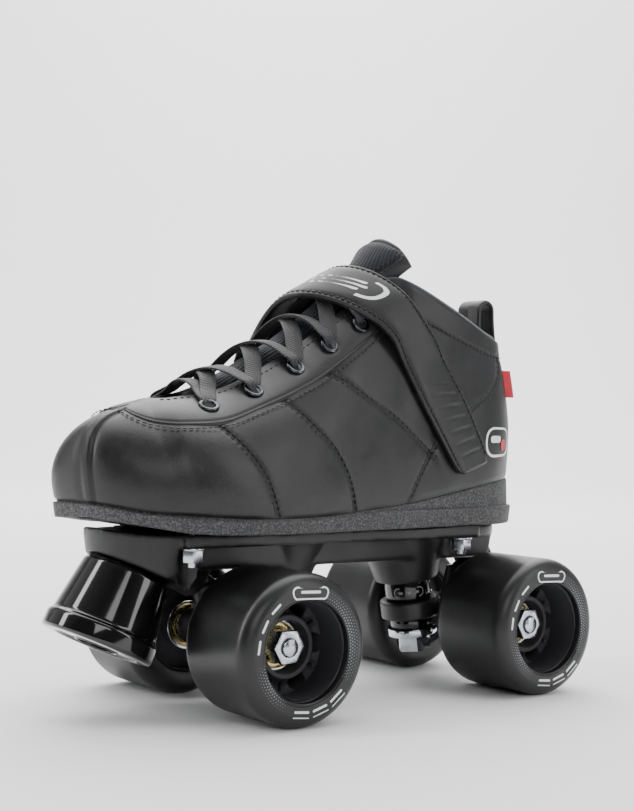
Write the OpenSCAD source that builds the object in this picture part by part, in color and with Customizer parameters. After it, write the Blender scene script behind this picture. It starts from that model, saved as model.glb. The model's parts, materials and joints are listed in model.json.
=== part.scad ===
// Quad roller skate, left foot: a lace-up boot with an instep strap on a nylon
// plate, with two sprung trucks, four wheels and a bolt-on toe stop.
// Millimetres. +X is the toe, +Y the outer side of the foot, +Z up, floor at z = 0.

/* [Wheels] */
// Tread diameter of a wheel
wheel_d = 62; // [54:1:70]
// Width of a wheel along its axle
wheel_w = 45; // [36:1:48]
// Distance between the front and rear axles
wheelbase = 138; // [136:1:170]
// Diameter of the round window in the outer face of the tyre
window_d = 41; // [38:0.5:44]
// Radius of the tyre's rounded shoulders
shoulder_r = 6; // [3:0.5:9]
// Number of spoke pairs in a hub
spoke_pairs = 6; // [5:1:7]

/* [Bearings] */
// Bore of a ball bearing and diameter of the axle
axle_d = 8; // [7:0.5:9]
// Outer diameter of a ball bearing
bearing_d = 22; // [21:0.5:24]
// Width of a ball bearing
bearing_w = 7; // [6:0.5:8]
// Length of the spacer between the two bearings of a wheel
spacer_l = 10; // [6:0.5:12]
// Number of balls in a bearing
balls_per_bearing = 7; // [6:1:8]

/* [Trucks] */
// Height of the plate's top face above the axles
truck_h = 44.5; // [43:0.5:54]
// Distance from the middle of the skate to the inner face of a wheel
wheel_inset = 21; // [20.5:0.5:26]
// Lean of the kingpin from upright
kingpin_lean = 10; // [6:1:12]
// Diameter of the kingpin's shank
kingpin_d = 9.5; // [8:0.5:10]
// Outer diameter of the hanger's cushion ring
ring_d = 28; // [27:0.5:31]
// Height of the hanger's cushion ring
ring_h = 8.5; // [7:0.5:10]
// Diameter of the upper cushion
upper_cushion_d = 22.4; // [20:0.2:26]
// Height of the upper cushion
upper_cushion_h = 9.5; // [8:0.5:10]
// Diameter of the lower cushion
lower_cushion_d = 21; // [19:0.5:25]
// Height of the lower cushion
lower_cushion_h = 5; // [4:0.5:7]

/* [Plate] */
// Thickness of the plate's flange
flange_t = 5.5; // [4:0.5:6]
// Half width of the flange
flange_half_w = 34; // [32:0.5:38]
// Depth of the plate's middle web below its top face
web_depth = 16.5; // [14:0.5:18]
// Half width of the web
web_half_w = 17; // [15:0.5:18]
// Distance of the mounting bolts from the middle of the skate
bolt_half_gap = 27; // [24:0.5:29]
// Diameter of the mounting bolts
bolt_d = 5; // [4:0.5:6]

/* [Toe stop] */
// Diameter of the toe stop at its pad face
stop_d = 48; // [42:1:52]
// Length of the toe stop along its axis
stop_l = 34; // [28:1:36]
// Lean of the toe stop's axis from upright
stop_lean = 25; // [20:1:30]
// Diameter of the toe stop's bolt
stop_bolt_d = 8; // [6:0.5:10]

/* [Boot] */
// Length of the last, the foot form that the boot is built on
last_l = 236; // [220:2:260]
// Width of the last across the ball of the foot
last_w = 82; // [74:1:90]
// Height of the boot's front corner above the plate
boot_h = 115; // [105:1:130]
// Thickness of the boot's outer leather
leather_t = 2.2; // [1.6:0.2:3]
// Thickness of the padded lining at the collar
collar_pad_t = 6; // [4:0.5:8]
// How far the outsole stands out round the boot
sole_welt = 3; // [2:0.5:6]
// How far the outsole stands out at the toe
toe_welt = 1.2; // [0.5:0.1:3]
// Thickness of the padded instep strap
strap_t = 3.4; // [2.4:0.2:4]
// Outer diameter of an eyelet
eyelet_d = 9; // [8:0.5:10]
// Width of the flat lace
lace_w = 7.5; // [6:0.5:8.5]
// Width of the heel pull loop
loop_w = 16; // [12:1:20]

/* [Hidden] */

eps = 0.01;
hex = 6;                       // sides of a nut
arc_fn = 64;                   // smoothness of the turned parts

// Heights of the main levels
axle_z = wheel_d / 2;
deck_z = axle_z + truck_h;     // top face of the plate, underside of the outsole
end_x = wheelbase / 2;         // distance of each axle from the middle

// Wheel, along its axle from the inner face
hub_d = window_d + 4;          // seat of the tyre on the hub
bearing_inset = 0.4;           // inner bearing below the inner face
bearing_1 = wheel_inset + bearing_inset;
bearing_2 = bearing_1 + bearing_w + spacer_l;
bearing_end = bearing_2 + bearing_w;
hub_lip = 2;                   // hub rim below the tyre's faces
boss_d = bearing_d + 5;
web_t = 5;                     // thickness of the hub's spoked web
race_t = 1.7;                  // wall of an outer race
ball_d = 4;
shield_t = 0.5;
run_gap = 0.05;                // radial clearance of a running fit
washer_t = 1;
axle_end = bearing_end + 9.6;
nut_w = 13;                    // across flats of an axle nut
nut_h = 7.5;

// Truck, from its axle: x is outboard, away from the middle of the skate
ring_c = [-26.4, 0, 4];        // centre of the cushion ring
pivot_c = [13, 0, 25];         // centre of the pivot ball in its cup
pivot_ball_d = 10;
cup_t = 1.5;                   // wall of the pivot cup
arm_d = 13;                    // hanger's arms
axle_boss_d = 17;              // hanger's axle housing
spigot_d = 16;                 // cushion spigots inside the ring
cup_washer_h = 3.7;
cup_washer_d = lower_cushion_d;
head_w = 14.5;                 // across flats of the kingpin's head
head_h = 7.5;
boss_top_d = 44;               // plate boss at the flange
boss_low_d = 30;               // plate boss at the cushion
insert_d = 16;
insert_h = 14;

// Plate and its bolts
bolt_x = [99, -50];
tail_x = -59;                  // where the tail begins to round off
tail_r = 27;
nose_x = 104;                  // where the nose begins to round off
nose_low_r = 24.5;
nose_top_r = 27.5;
stop_top = [113, 0, deck_z - 16];
nut5_w = 8;
nut5_h = 5;
washer5_d = 10;
bolt_reach = 8;                // bolt end below the flange

// Boot tables: position t along the boot from the heel (0) to the toe (1), then
// x, y, z of the feather line, where the boot meets the sole, outer side ...
last_l0 = 236;
last_w0 = 82;
boot_h0 = 115;
feather_outer = [[0, -94, 0, 21.5], [0.05, -91, 12.5, 21.5], [0.11, -82.5, 21.5, 21], [0.18, -68, 28, 19.5],
    [0.28, -42, 31, 15.5], [0.38, -15, 34, 11.5], [0.5, 15, 37, 8.5], [0.62, 47, 41.5, 6.5],
    [0.74, 80, 42.5, 6.5], [0.84, 105, 38, 8], [0.91, 122, 29, 9.5], [0.96, 132, 19.5, 11.5],
    [1, 137, 10, 12.5]];
// ... and the same for the inner side
feather_inner = [[0, -94, 0, 21.5], [0.05, -91, -13, 21.5], [0.11, -83, -22, 21], [0.18, -68, -27.5, 19.5],
    [0.28, -42, -30, 15.5], [0.38, -15, -29, 11.5], [0.5, 15, -29, 8.5], [0.62, 47, -33, 6.5],
    [0.74, 80, -39, 6.5], [0.84, 108, -38.5, 8], [0.91, 128, -29, 10.5], [0.96, 140, -12, 12.5],
    [1, 137, 10, 12.5]];
// Top edge: t, x, half width, z. It is the collar, then the eyestay, then the closed vamp
top_edge = [[0, -88.5, 0, 87], [0.05, -86.5, 9, 87], [0.11, -81, 17, 87.5], [0.18, -70, 22, 89.5],
    [0.28, -46, 25, 99], [0.37, -22, 22, 109.5], [0.43, -9, 16, 112], [0.5, 8, 13, 100.5],
    [0.62, 41, 13, 78], [0.74, 76, 12.5, 59.5], [0.84, 100, 7, 54], [0.87, 106, 0.35, 53.5],
    [0.91, 112, 0.35, 52], [0.96, 117, 0.35, 50], [1, 121, 0.35, 48.5]];
// Shape of a section: t, heading of the wall, bulge and rise at the foot, spread and drop at the top
section_shape = [[0, 180, 3, 30, 3, 25], [0.05, 152, 3, 30, 3, 25], [0.11, 128, 3, 30, 4, 25],
    [0.18, 105, 4, 32, 3, 25], [0.28, 95, 3, 36, 1, 28], [0.38, 93, 3, 38, 4, 28],
    [0.5, 88, 4, 34, 13, 14], [0.62, 84, 5, 28, 16, 12], [0.74, 78, 7, 22, 20, 7],
    [0.84, 66, 7, 20, 26, 3], [0.91, 50, 6, 18, 24, 2], [0.96, 28, 6, 18, 22, 2], [1, 10, 5, 18, 20, 1]];
// Heading of the wall on the inner side, which turns further round the toe
inner_heading = [[0, -180], [0.05, -152], [0.11, -128], [0.18, -105], [0.28, -95], [0.38, -93],
    [0.5, -88], [0.62, -84], [0.74, -78], [0.84, -66], [0.91, -45], [0.96, -18], [1, 10]];
// The toe seam wanders to the outer side: t, y
seam_line = [[0, 0], [0.84, 0], [0.91, 1.5], [0.96, 3.5], [1, 5]];
seam_gap = 0.35;               // half of the gap between the two sides of the closed vamp
// Toe spring, the rise of the outsole's underside: t, z
toe_spring = [[0, 0], [0.72, 0], [0.84, 1], [0.92, 4], [1, 6.5]];

function mix(a, b, k) = a + (b - a) * k;
function unit(v) = v / norm(v);
function knot(tab, t, i = 0) = i >= len(tab) - 2 || t < tab[i + 1][0] ? i : knot(tab, t, i + 1);
function slope(tab, i) = let (a = max(i - 1, 0), b = min(i + 1, len(tab) - 1))
    (tab[b] - tab[a]) / (tab[b][0] - tab[a][0]);
// A smooth curve through a table's rows, at t
function curve(tab, t) = let (i = knot(tab, t), h = tab[i + 1][0] - tab[i][0], u = (t - tab[i][0]) / h)
    (1 + 2 * u) * pow(1 - u, 2) * tab[i] + u * pow(1 - u, 2) * h * slope(tab, i)
    + u * u * (3 - 2 * u) * tab[i + 1] + u * u * (u - 1) * h * slope(tab, i + 1);

kx = last_l / last_l0;
ky = last_w / last_w0;
kz = boot_h / boot_h0;
function sized(p) = [p[0] * kx, p[1] * ky, deck_z + p[2] * kz];

// The boot's outside: side is 1 for the outer half and -1 for the inner, v runs from sole to top
function heading(t, side) = let (a = side > 0 ? curve(section_shape, t)[1] : curve(inner_heading, t)[1])
    [cos(a), sin(a), 0];
function feather(t, side) = let (p = curve(side > 0 ? feather_outer : feather_inner, t)) [p[1], p[2], p[3]];
function section(t, side) = let (b = feather(t, side), d = heading(t, side), s = curve(section_shape, t),
    e = curve(top_edge, t), half = max(e[2], t > 0.8 ? seam_gap : 0),
    rim = [e[1], curve(seam_line, t)[1] + side * half, e[3]])
    [b, b + d * s[2] + [0, 0, s[3]], rim + d * s[4] - [0, 0, s[5]], rim];
function bezier(p, v) = pow(1 - v, 3) * p[0] + 3 * pow(1 - v, 2) * v * p[1]
    + 3 * (1 - v) * v * v * p[2] + pow(v, 3) * p[3];
function bezier_slope(p, v) = (p[1] - p[0]) * pow(1 - v, 2) + 2 * (p[2] - p[1]) * (1 - v) * v
    + (p[3] - p[2]) * v * v;
// Outward direction of a section: across its slope, within the plane of the wall's heading
function outward(t, side, v) = let (d = heading(t, side), g = bezier_slope(section(t, side), v),
    run = g * d, n = unit([-run, g[2]])) d * n[1] + [0, 0, n[0]];
function boot(t, side, v, off = 0) = sized(bezier(section(t, side), v)) + outward(t, side, v) * off;

// Over the instep a crest rises across the gap between the eyestays, q from -1 (outer edge) to 1
crest_rise = [[0, 0], [0.36, 0], [0.43, 6], [0.5, 7], [0.62, 6.5], [0.74, 5], [0.84, 2], [0.87, 0], [1, 0]];
function crown_at(t, q) = let (a = section(t, 1)[3], b = section(t, -1)[3])
    sized(mix(a, b, (q + 1) / 2) + [0, 0, curve(crest_rise, t)[1] * (1 - q * q)]);
function crown(t, q, off = 0) = let (g = crown_at(t, q + 0.01) - crown_at(t, q - 0.01),
    n = unit([0, g[2], -g[1]])) crown_at(t, q) + n * off;

// Lofts closed sections into a solid; each section's first half faces its second half
module loft(loops, flip = false) {
    n = len(loops[0]);
    m = len(loops);
    walls = [for (i = [0:m - 2], j = [0:n - 1]) let (a = i * n + j, b = i * n + (j + 1) % n,
        c = b + n, d = a + n) each [[a, d, c], [a, c, b]]];
    ends = [for (i = [0, m - 1], j = [0:n / 2 - 2]) let (a = i * n + j, b = a + 1,
        c = i * n + n - 2 - j, d = c + 1) each (i == 0 ? [[a, b, c], [a, c, d]] : [[a, c, b], [a, d, c]])];
    faces = concat(walls, ends);
    polyhedron([for (l = loops) each l], flip ? [for (f = faces) [f[2], f[1], f[0]]] : faces);
}

// Stations round the boot: s below 0 is the outer side, above 0 the inner side
function side_of(s) = s < 0 ? 1 : -1;
module boot_shell(stations, v_low, v_high, outer, inner, steps = 9) {
    vs = [for (k = [0:steps]) k / steps];
    loft([for (s = stations) let (t = abs(s), w = side_of(s), low = is_list(v_low) ? curve(v_low, t)[1] : v_low)
        concat([for (k = vs) boot(t, w, mix(low, v_high, k), outer)],
            [for (k = vs) boot(t, w, mix(v_high, low, k),
                -(is_list(inner) ? curve(inner, mix(v_high, low, k))[1] : inner))])], true);
}
function round_heel(t_end, n) = [for (i = [-n:n]) t_end * i / n];

// A flat layer of the sole: inset from the feather line, from height low to height high above it
module sole_layer(inset, low, high, n = 40) {
    loft([for (i = [0:n]) let (t = mix(0.015, 0.985, i / n), a = feather(t, 1) - heading(t, 1) * inset,
        b = feather(t, -1) - heading(t, -1) * inset)
        [sized(a) + [0, 0, low], sized(a) + [0, 0, high], sized(b) + [0, 0, high], sized(b) + [0, 0, low]]]);
}
function edge_point(t, side, out, z) = let (p = sized(feather(t, side) + heading(t, side) * out)) [p[0], p[1], z];
function welt(t) = mix(sole_welt, toe_welt, max(0, min(1, (t - 0.74) / 0.2)));
function sole_side(t, side) = let (low = deck_z + max(0, curve(toe_spring, t)[1]), top = sized(feather(t, side))[2],
    band = min(low + 8.5, top - 0.8))
    [edge_point(t, side, welt(t) - 0.8, low), edge_point(t, side, welt(t), band),
    edge_point(t, side, welt(t) - 1.6, band + 0.5), edge_point(t, side, welt(t) - 2.2, top)];
outsole_loops = [for (i = [0:48]) let (t = mix(0.012, 0.988, i / 48), a = sole_side(t, 1), b = sole_side(t, -1))
    [a[0], a[1], a[2], a[3], b[3], b[2], b[1], b[0]]];

// Middle of the whole skate along X, so that the origin is at the bottom centre of its box
outsole_xs = [for (l = outsole_loops, p = l) p[0]];
stop_axis = [sin(stop_lean), 0, -cos(stop_lean)];
stop_round = 1.5;
stop_front_x = stop_top[0] + stop_axis[0] * (stop_l - stop_round) + stop_d / 2 * cos(stop_lean);
frame_x = (max(max(outsole_xs), stop_front_x) + min(min(outsole_xs), -end_x - wheel_d / 2)) / 2;

module framed() { translate([-frame_x, 0, 0]) children(); }
// Places a truck's pieces: end is 1 for the front and -1 for the rear
module at_truck(end) {
    framed() mirror([end > 0 ? 0 : 1, 0, 0]) translate([end_x, 0, axle_z]) children();
}
// Turns +Z into a direction in the XZ plane
module aimed(from, to) {
    d = to - from;
    translate(from) rotate([0, atan2(d[0], d[2]), 0]) children();
}
module along_y() { rotate([-90, 0, 0]) children(); }
module at_kingpin() { translate(ring_c) rotate([0, -kingpin_lean, 0]) children(); }
module ring(od, id, h) {
    difference() {
        cylinder(h = h, d = od, $fn = arc_fn);
        translate([0, 0, -eps]) cylinder(h = h + 2 * eps, d = id, $fn = arc_fn);
    }
}
module nut(width, h, bore) {
    difference() {
        cylinder(h = h, d = width / cos(30), $fn = hex);
        translate([0, 0, -eps]) cylinder(h = h + 2 * eps, d = bore, $fn = arc_fn);
    }
}

// ---- Wheels ----
module tyre(end, side) {
    color("#1b1b1d") at_wheel(end, side) rotate_extrude($fn = 96)
        tyre_section(wheel_d / 2, hub_d / 2, window_d / 2, wheel_w, shoulder_r, hub_lip);
}
// Tyre section: a square with two rounded shoulders, and a bead over each end of the hub's rim
module tyre_section(r_out, r_in, r_bead, w, r, lip) {
    translate([r_in, 0]) square([r_out - r - r_in, w]);
    translate([r_in, r]) square([r_out - r_in, w - 2 * r]);
    for (z = [r, w - r]) intersection() {
        translate([r_out - r, z]) circle(r, $fn = 48);
        translate([r_in, 0]) square([r_out - r_in, w]);
    }
    for (z = [0, w - lip]) translate([r_bead, z]) square([r_in - r_bead + eps, lip]);
}
module at_wheel(end, side) {
    at_truck(end) mirror([0, side > 0 ? 0 : 1, 0]) translate([0, wheel_inset, 0]) along_y() children();
}
boss_l = bearing_end - wheel_inset + 0.6;
module hub(end, side) {
    seat = bearing_1 - wheel_inset;
    far_seat = bearing_2 - wheel_inset;
    rim_in = window_d / 2 - 1;
    hole_r = 3.4;
    hole_at = (boss_d / 2 + rim_in) / 2;
    color("#222224") at_wheel(end, side) difference() {
        union() {
            translate([0, 0, hub_lip]) ring(hub_d, 2 * rim_in, wheel_w - 2 * hub_lip);
            cylinder(h = boss_l, d = boss_d, $fn = arc_fn);
            rotate_extrude($fn = arc_fn) polygon([[boss_d / 2 - 1, boss_l - web_t - 1], [rim_in + 0.5, wheel_w - 15],
                [rim_in + 0.5, wheel_w - 15 + web_t], [boss_d / 2 - 1, boss_l - 1]]);
        }
        for (z = [seat, far_seat]) translate([0, 0, z]) cylinder(h = bearing_w + (z > seat ? 9 : 0),
            d = bearing_d, $fn = arc_fn);
        translate([0, 0, -eps]) cylinder(h = seat + 2 * eps, d = bearing_d, $fn = arc_fn);
        cylinder(h = far_seat + eps, d = bearing_d - 4, $fn = arc_fn);
        for (k = [0:spoke_pairs - 1]) rotate(k * 360 / spoke_pairs) {
            translate([hole_at, 0, boss_l - 14]) cylinder(h = 30, r = hole_r, $fn = 32);
            rotate(180 / spoke_pairs) translate([hole_at, 0, boss_l - 14]) cylinder(h = 30, r = 0.9, $fn = 24);
        }
    }
}
module per_bearing() { for (y = [bearing_1, bearing_2]) translate([0, 0, y - wheel_inset]) children(); }
module outer_races(end, side) {
    color("#b9a56a") at_wheel(end, side) per_bearing() ring(bearing_d, bearing_d - 2 * race_t, bearing_w);
}
inner_race_d = axle_d + 4;
module shields(end, side) {
    recess = 0.4;
    color("#c8b070") at_wheel(end, side) per_bearing()
        for (z = [recess, bearing_w - recess - shield_t]) translate([0, 0, z])
            ring(bearing_d - 2 * race_t, inner_race_d + 0.8, shield_t);
}
module balls(end, side) {
    pitch = (bearing_d - 2 * race_t + inner_race_d) / 4;
    size = min(ball_d, bearing_d / 2 - race_t - inner_race_d / 2 - 2 * run_gap);
    color("silver") at_wheel(end, side) per_bearing() for (k = [0:balls_per_bearing - 1])
        rotate(k * 360 / balls_per_bearing) translate([pitch, 0, bearing_w / 2]) sphere(d = size, $fn = 24);
}

// ---- Trucks ----
module both_wheels() { for (side = [1, -1]) mirror([0, side > 0 ? 0 : 1, 0]) along_y() children(); }
module axle(end) {
    color("silver") at_truck(end) translate([0, -axle_end, 0]) along_y() {
        cylinder(h = 2 * axle_end, d = axle_d, $fn = arc_fn);
    }
}
module axle_nuts(end) {
    color("silver") at_truck(end) both_wheels() {
        translate([0, 0, bearing_end]) ring(inner_race_d, axle_d, washer_t);
        translate([0, 0, bearing_end + washer_t]) nut(nut_w, nut_h, axle_d);
    }
}
module inner_races(end) {
    color("silver") at_truck(end) both_wheels() for (y = [bearing_1, bearing_2]) translate([0, 0, y])
        ring(inner_race_d, axle_d, bearing_w);
}
module spacers(end) {
    color("silver") at_truck(end) both_wheels() translate([0, 0, bearing_1 + bearing_w])
        ring(axle_d + 3, axle_d, spacer_l);
}
pivot_dir = unit(pivot_c - ring_c);
module hanger(end) {
    housing = bearing_1;
    shoulder = 12;
    color("#2a2a2c") at_truck(end) difference() {
        union() {
            translate([0, -housing, 0]) along_y() cylinder(h = 2 * housing, d = shoulder, $fn = arc_fn);
            translate([0, 4 - housing, 0]) along_y() cylinder(h = 2 * (housing - 4), d = axle_boss_d, $fn = arc_fn);
            at_kingpin() translate([0, 0, -ring_h / 2]) cylinder(h = ring_h, d = ring_d, $fn = arc_fn);
            for (y = [-7, 7]) aimed([0, y, 0], [ring_c[0] + 11, y, ring_c[2]])
                cylinder(h = norm(ring_c + [11, 0, 0]), d = ring_h - 1.5, $fn = 48);
            aimed([0, 0, 0], pivot_c - pivot_dir * 8)
                cylinder(h = norm(pivot_c - pivot_dir * 8), d = arm_d, $fn = 48);
            aimed(pivot_c - pivot_dir * 10, pivot_c) cylinder(h = 10, d = pivot_ball_d - 2.5, $fn = 48);
            translate(pivot_c) sphere(d = pivot_ball_d, $fn = 48);
        }
        at_kingpin() translate([0, 0, -ring_h]) cylinder(h = 2 * ring_h, d = spigot_d, $fn = arc_fn);
        translate([0, -housing - eps, 0]) along_y() cylinder(h = 2 * housing + 2 * eps, d = axle_d, $fn = arc_fn);
    }
}
// Distances along the kingpin from the ring's centre, up positive
upper_top = ring_h / 2 + upper_cushion_h;
lower_end = -ring_h / 2 - lower_cushion_h;
module kingpins() {
    for (end = [1, -1]) color("silver") at_truck(end) at_kingpin() {
        translate([0, 0, lower_end - cup_washer_h]) cylinder(h = upper_top - lower_end + cup_washer_h + insert_h,
            d = kingpin_d, $fn = arc_fn);
        translate([0, 0, lower_end - cup_washer_h - head_h]) intersection() {
            cylinder(h = head_h, d = head_w / cos(30), $fn = hex);
            translate([0, 0, head_h / 2 + 2.5]) sphere(r = head_w * 0.72, $fn = 64);
        }
    }
}
module kingpin_inserts() {
    for (end = [1, -1]) color("#b8923e") at_truck(end) at_kingpin()
        translate([0, 0, upper_top + 0.5]) ring(insert_d, kingpin_d, insert_h);
}
module cup_washers() {
    wall = 1.2;
    for (end = [1, -1]) color("silver") at_truck(end) at_kingpin()
        translate([0, 0, lower_end - cup_washer_h]) difference() {
            cylinder(h = cup_washer_h, d = cup_washer_d + 2 * wall, $fn = arc_fn);
            translate([0, 0, wall]) cylinder(h = cup_washer_h, d = cup_washer_d, $fn = arc_fn);
            translate([0, 0, -eps]) cylinder(h = wall + 2 * eps, d = kingpin_d, $fn = arc_fn);
        }
}
// A urethane cushion with a spigot that reaches into the ring
module cushion(d, h, up) {
    spigot = ring_h / 2 - 0.3;
    seat = 0.1;
    mirror([0, 0, up ? 0 : 1]) difference() {
        union() {
            translate([0, 0, ring_h / 2 + seat]) cylinder(h = h - seat, d1 = d, d2 = d - 1.6, $fn = arc_fn);
            translate([0, 0, ring_h / 2 - spigot]) cylinder(h = spigot + seat + eps, d = spigot_d - 0.4, $fn = arc_fn);
        }
        translate([0, 0, ring_h / 2 - spigot - eps]) cylinder(h = h + spigot + 2 * eps, d = kingpin_d, $fn = arc_fn);
    }
}
module upper_cushion(end) {
    color("#101012") at_truck(end) at_kingpin() cushion(upper_cushion_d, upper_cushion_h, true);
}
module lower_cushion(end) {
    color("#101012") at_truck(end) at_kingpin() cushion(lower_cushion_d, lower_cushion_h + cup_washer_h - 1.2, false);
}
cup_d = pivot_ball_d + 2 * cup_t;
cup_depth = 6;
cup_end = pivot_ball_d / 2 + cup_t; // closed end of the cup, from the ball's centre
module pivot_cups() {
    for (end = [1, -1]) color("#303034") at_truck(end) aimed(pivot_c, pivot_c + pivot_dir) difference() {
        translate([0, 0, -cup_depth / 2]) cylinder(h = cup_depth / 2 + cup_end, d = cup_d, $fn = arc_fn);
        sphere(d = pivot_ball_d + 2 * run_gap, $fn = 64);
        translate([0, 0, -cup_depth]) cylinder(h = cup_depth, d = pivot_ball_d + 2 * run_gap, $fn = arc_fn);
    }
}

// ---- Plate ----
module plate() {
    low_z = deck_z - web_depth;
    color("#232325") difference() {
        union() {
            framed() translate([0, 0, deck_z - flange_t]) linear_extrude(flange_t) flange_outline();
            framed() translate([tail_x, -web_half_w, low_z]) cube([nose_x - tail_x - 4, 2 * web_half_w, web_depth - 1]);
            framed() intersection() {
                translate([tail_x, 0, low_z]) cylinder(h = web_depth - 1, d1 = 2 * tail_r - 4, d2 = 2 * tail_r, $fn = arc_fn);
                translate([tail_x - 40, -web_half_w - 2, 0]) cube([50, 2 * web_half_w + 4, deck_z]);
            }
            framed() intersection() {
                rotate([90, 0, 0]) translate([0, 0, -nose_top_r]) linear_extrude(2 * nose_top_r) nose_outline();
                union() {
                    translate([nose_x - 40, -nose_low_r, 0]) cube([40, 2 * nose_low_r, deck_z + 20]);
                    translate([nose_x, 0, deck_z - 18])
                        cylinder(h = 24, r1 = nose_low_r, r2 = nose_top_r, $fn = arc_fn);
                }
            }
            for (end = [1, -1]) intersection() {
                union() {
                    at_truck(end) at_kingpin() translate([0, 0, upper_top])
                        cylinder(h = 26, d1 = boss_low_d, d2 = boss_top_d, $fn = arc_fn);
                    at_truck(end) aimed(pivot_c, pivot_c + pivot_dir) translate([0, 0, -cup_depth / 2])
                        cylinder(h = 10.5, d = cup_d + 6, $fn = arc_fn);
                }
                translate([-200, -100, 0]) cube([400, 200, deck_z - 1]);
            }
        }
        for (end = [1, -1]) {
            at_truck(end) at_kingpin() translate([0, 0, upper_top - 1])
                cylinder(h = insert_h + 1.5, d = insert_d, $fn = arc_fn);
            at_truck(end) aimed(pivot_c, pivot_c + pivot_dir) translate([0, 0, -cup_depth])
                cylinder(h = cup_depth + cup_end, d = cup_d, $fn = arc_fn);
            at_truck(end) aimed(ring_c, pivot_c) translate([0, 0, norm(pivot_c - ring_c) - 24])
                cylinder(h = 24 - cup_depth / 2, d = cup_d + 7, $fn = arc_fn);
        }
        at_bolts() translate([0, 0, deck_z - 10]) cylinder(h = 12, d = bolt_d, $fn = 48);
        at_bolts() translate([0, 0, deck_z - flange_t - 20]) cylinder(h = 20, d = washer5_d + 1, $fn = 48);
        at_stop() translate([0, 0, -12]) cylinder(h = 14, d = stop_bolt_d, $fn = 48);
        at_stop() translate([0, 0, -14]) cylinder(h = 7, d = 13 / cos(30), $fn = hex);
    }
}
module flange_outline() {
    w = flange_half_w;
    translate([tail_x, 0]) circle(tail_r, $fn = arc_fn);
    polygon([[tail_x, 4 - w], [tail_x + 4, -w], [-30, -w], [0, -w + 5], [30, -w + 4],
        [80, -w], [nose_x, 3 - w], [nose_x, w - 3], [80, w], [30, w - 2],
        [0, w - 4], [-30, w], [tail_x + 4, w], [tail_x, w - 4]]);
}
module nose_outline() {
    front = stop_top + [20 * cos(stop_lean), 0, 20 * sin(stop_lean)];
    back = stop_top - [19 * cos(stop_lean), 0, 19 * sin(stop_lean)];
    polygon([[90, deck_z - 1], [94, deck_z - web_depth], [back[0], back[2]], [front[0], front[2]],
        [front[0] + 6, deck_z + 2.4], [116, deck_z - 0.2], [nose_x - 2, deck_z - 0.2]]);
}
module at_bolts() { framed() for (x = bolt_x, y = [-1, 1]) translate([x, y * bolt_half_gap, 0]) children(); }
board_t = 2;
bolt_hold = 3;                 // how deep the sole holds a bolt under its head
bolt_head_d = 9;
bolt_head_h = 1.5;
// Each bolt's flat head is set in the sole, under the lasting board
module mount_bolts() {
    low = deck_z - flange_t - bolt_reach;
    color("silver") at_bolts() {
        translate([0, 0, low]) cylinder(h = deck_z + bolt_hold + eps - low, d = bolt_d, $fn = 48);
        translate([0, 0, deck_z + bolt_hold]) cylinder(h = bolt_head_h, d = bolt_head_d, $fn = 48);
    }
}
module mount_washers() {
    color("silver") at_bolts() translate([0, 0, deck_z - flange_t - washer_t]) ring(washer5_d, bolt_d, washer_t);
}
module mount_nuts() {
    color("silver") at_bolts() translate([0, 0, deck_z - flange_t - washer_t - nut5_h]) nut(nut5_w, nut5_h, bolt_d);
}

// ---- Toe stop ---- (z runs down its axis from the plate's nose)
module at_stop() { framed() aimed(stop_top, stop_top + stop_axis) children(); }
stop_well_d = 17;
stop_well = 9;
module toe_stop() {
    r = stop_d / 2;
    band = 9;
    color("#0f0f10") at_stop() difference() {
        rotate_extrude($fn = 96) {
            polygon([[0, 0.2], [r - 6.5, 0.2], [r - 5.5, 1.2], [r - 1.4, stop_l - band],
                [r, stop_l - band + 1.2], [r, stop_l - stop_round], [r - stop_round, stop_l - stop_round],
                [r - stop_round, stop_l], [0, stop_l]]);
            translate([r - stop_round, stop_l - stop_round]) circle(stop_round, $fn = 32);
        }
        translate([0, 0, -1]) cylinder(h = stop_l + 2, d = stop_bolt_d, $fn = 48);
        translate([0, 0, stop_l - stop_well]) cylinder(h = stop_well + 1, d = stop_well_d, $fn = 48);
    }
}
module toe_stop_bolt() {
    head = 5;
    color("silver") at_stop() {
        translate([0, 0, -11]) cylinder(h = stop_l - stop_well - washer_t + 11, d = stop_bolt_d, $fn = 48);
        translate([0, 0, stop_l - stop_well + washer_t]) nut(12.5, head, 6);
        translate([0, 0, stop_l - stop_well - washer_t]) cylinder(h = 2 * washer_t + 2, d = stop_bolt_d, $fn = 48);
    }
}
module toe_stop_washer() {
    color("silver") at_stop() translate([0, 0, stop_l - stop_well]) ring(stop_well_d - 1, stop_bolt_d, washer_t);
}
module toe_stop_nut() {
    color("silver") at_stop() translate([0, 0, -14]) nut(13, 6.5, stop_bolt_d);
}

// ---- Boot ----
eyelet_ts = [0.785, 0.705, 0.63, 0.565, 0.5, 0.435];
eyelet_vs = [0.8, 0.83, 0.84, 0.83, 0.82, 0.8];
back_seam = 0.001;             // where each side of the upper begins, at the back of the heel
seam_end = 0.997;              // the two halves of the upper all but meet at the toe seam
stay_t = 1.2;
eyelet_flange = 0.9;
eyelet_bore = eyelet_d - 3.6;
eyelet_barrel_d = eyelet_bore + 1.2;
module outsole() {
    color("#3a3a3c") difference() {
        framed() loft(outsole_loops, true);
        at_bolts() translate([0, 0, deck_z - 1]) cylinder(h = bolt_hold + 1, d = bolt_d, $fn = 48);
        at_bolts() translate([0, 0, deck_z + bolt_hold - eps]) cylinder(h = bolt_head_h + 0.1, d = bolt_head_d + 0.2, $fn = 48);
    }
}
module lasting_board() { color("#8a7a60") framed() sole_layer(leather_t + 0.4, 0.05, board_t); }
module insole() { color("#26262a") framed() sole_layer(leather_t + 3, board_t + 1.7, board_t + 5); }
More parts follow.
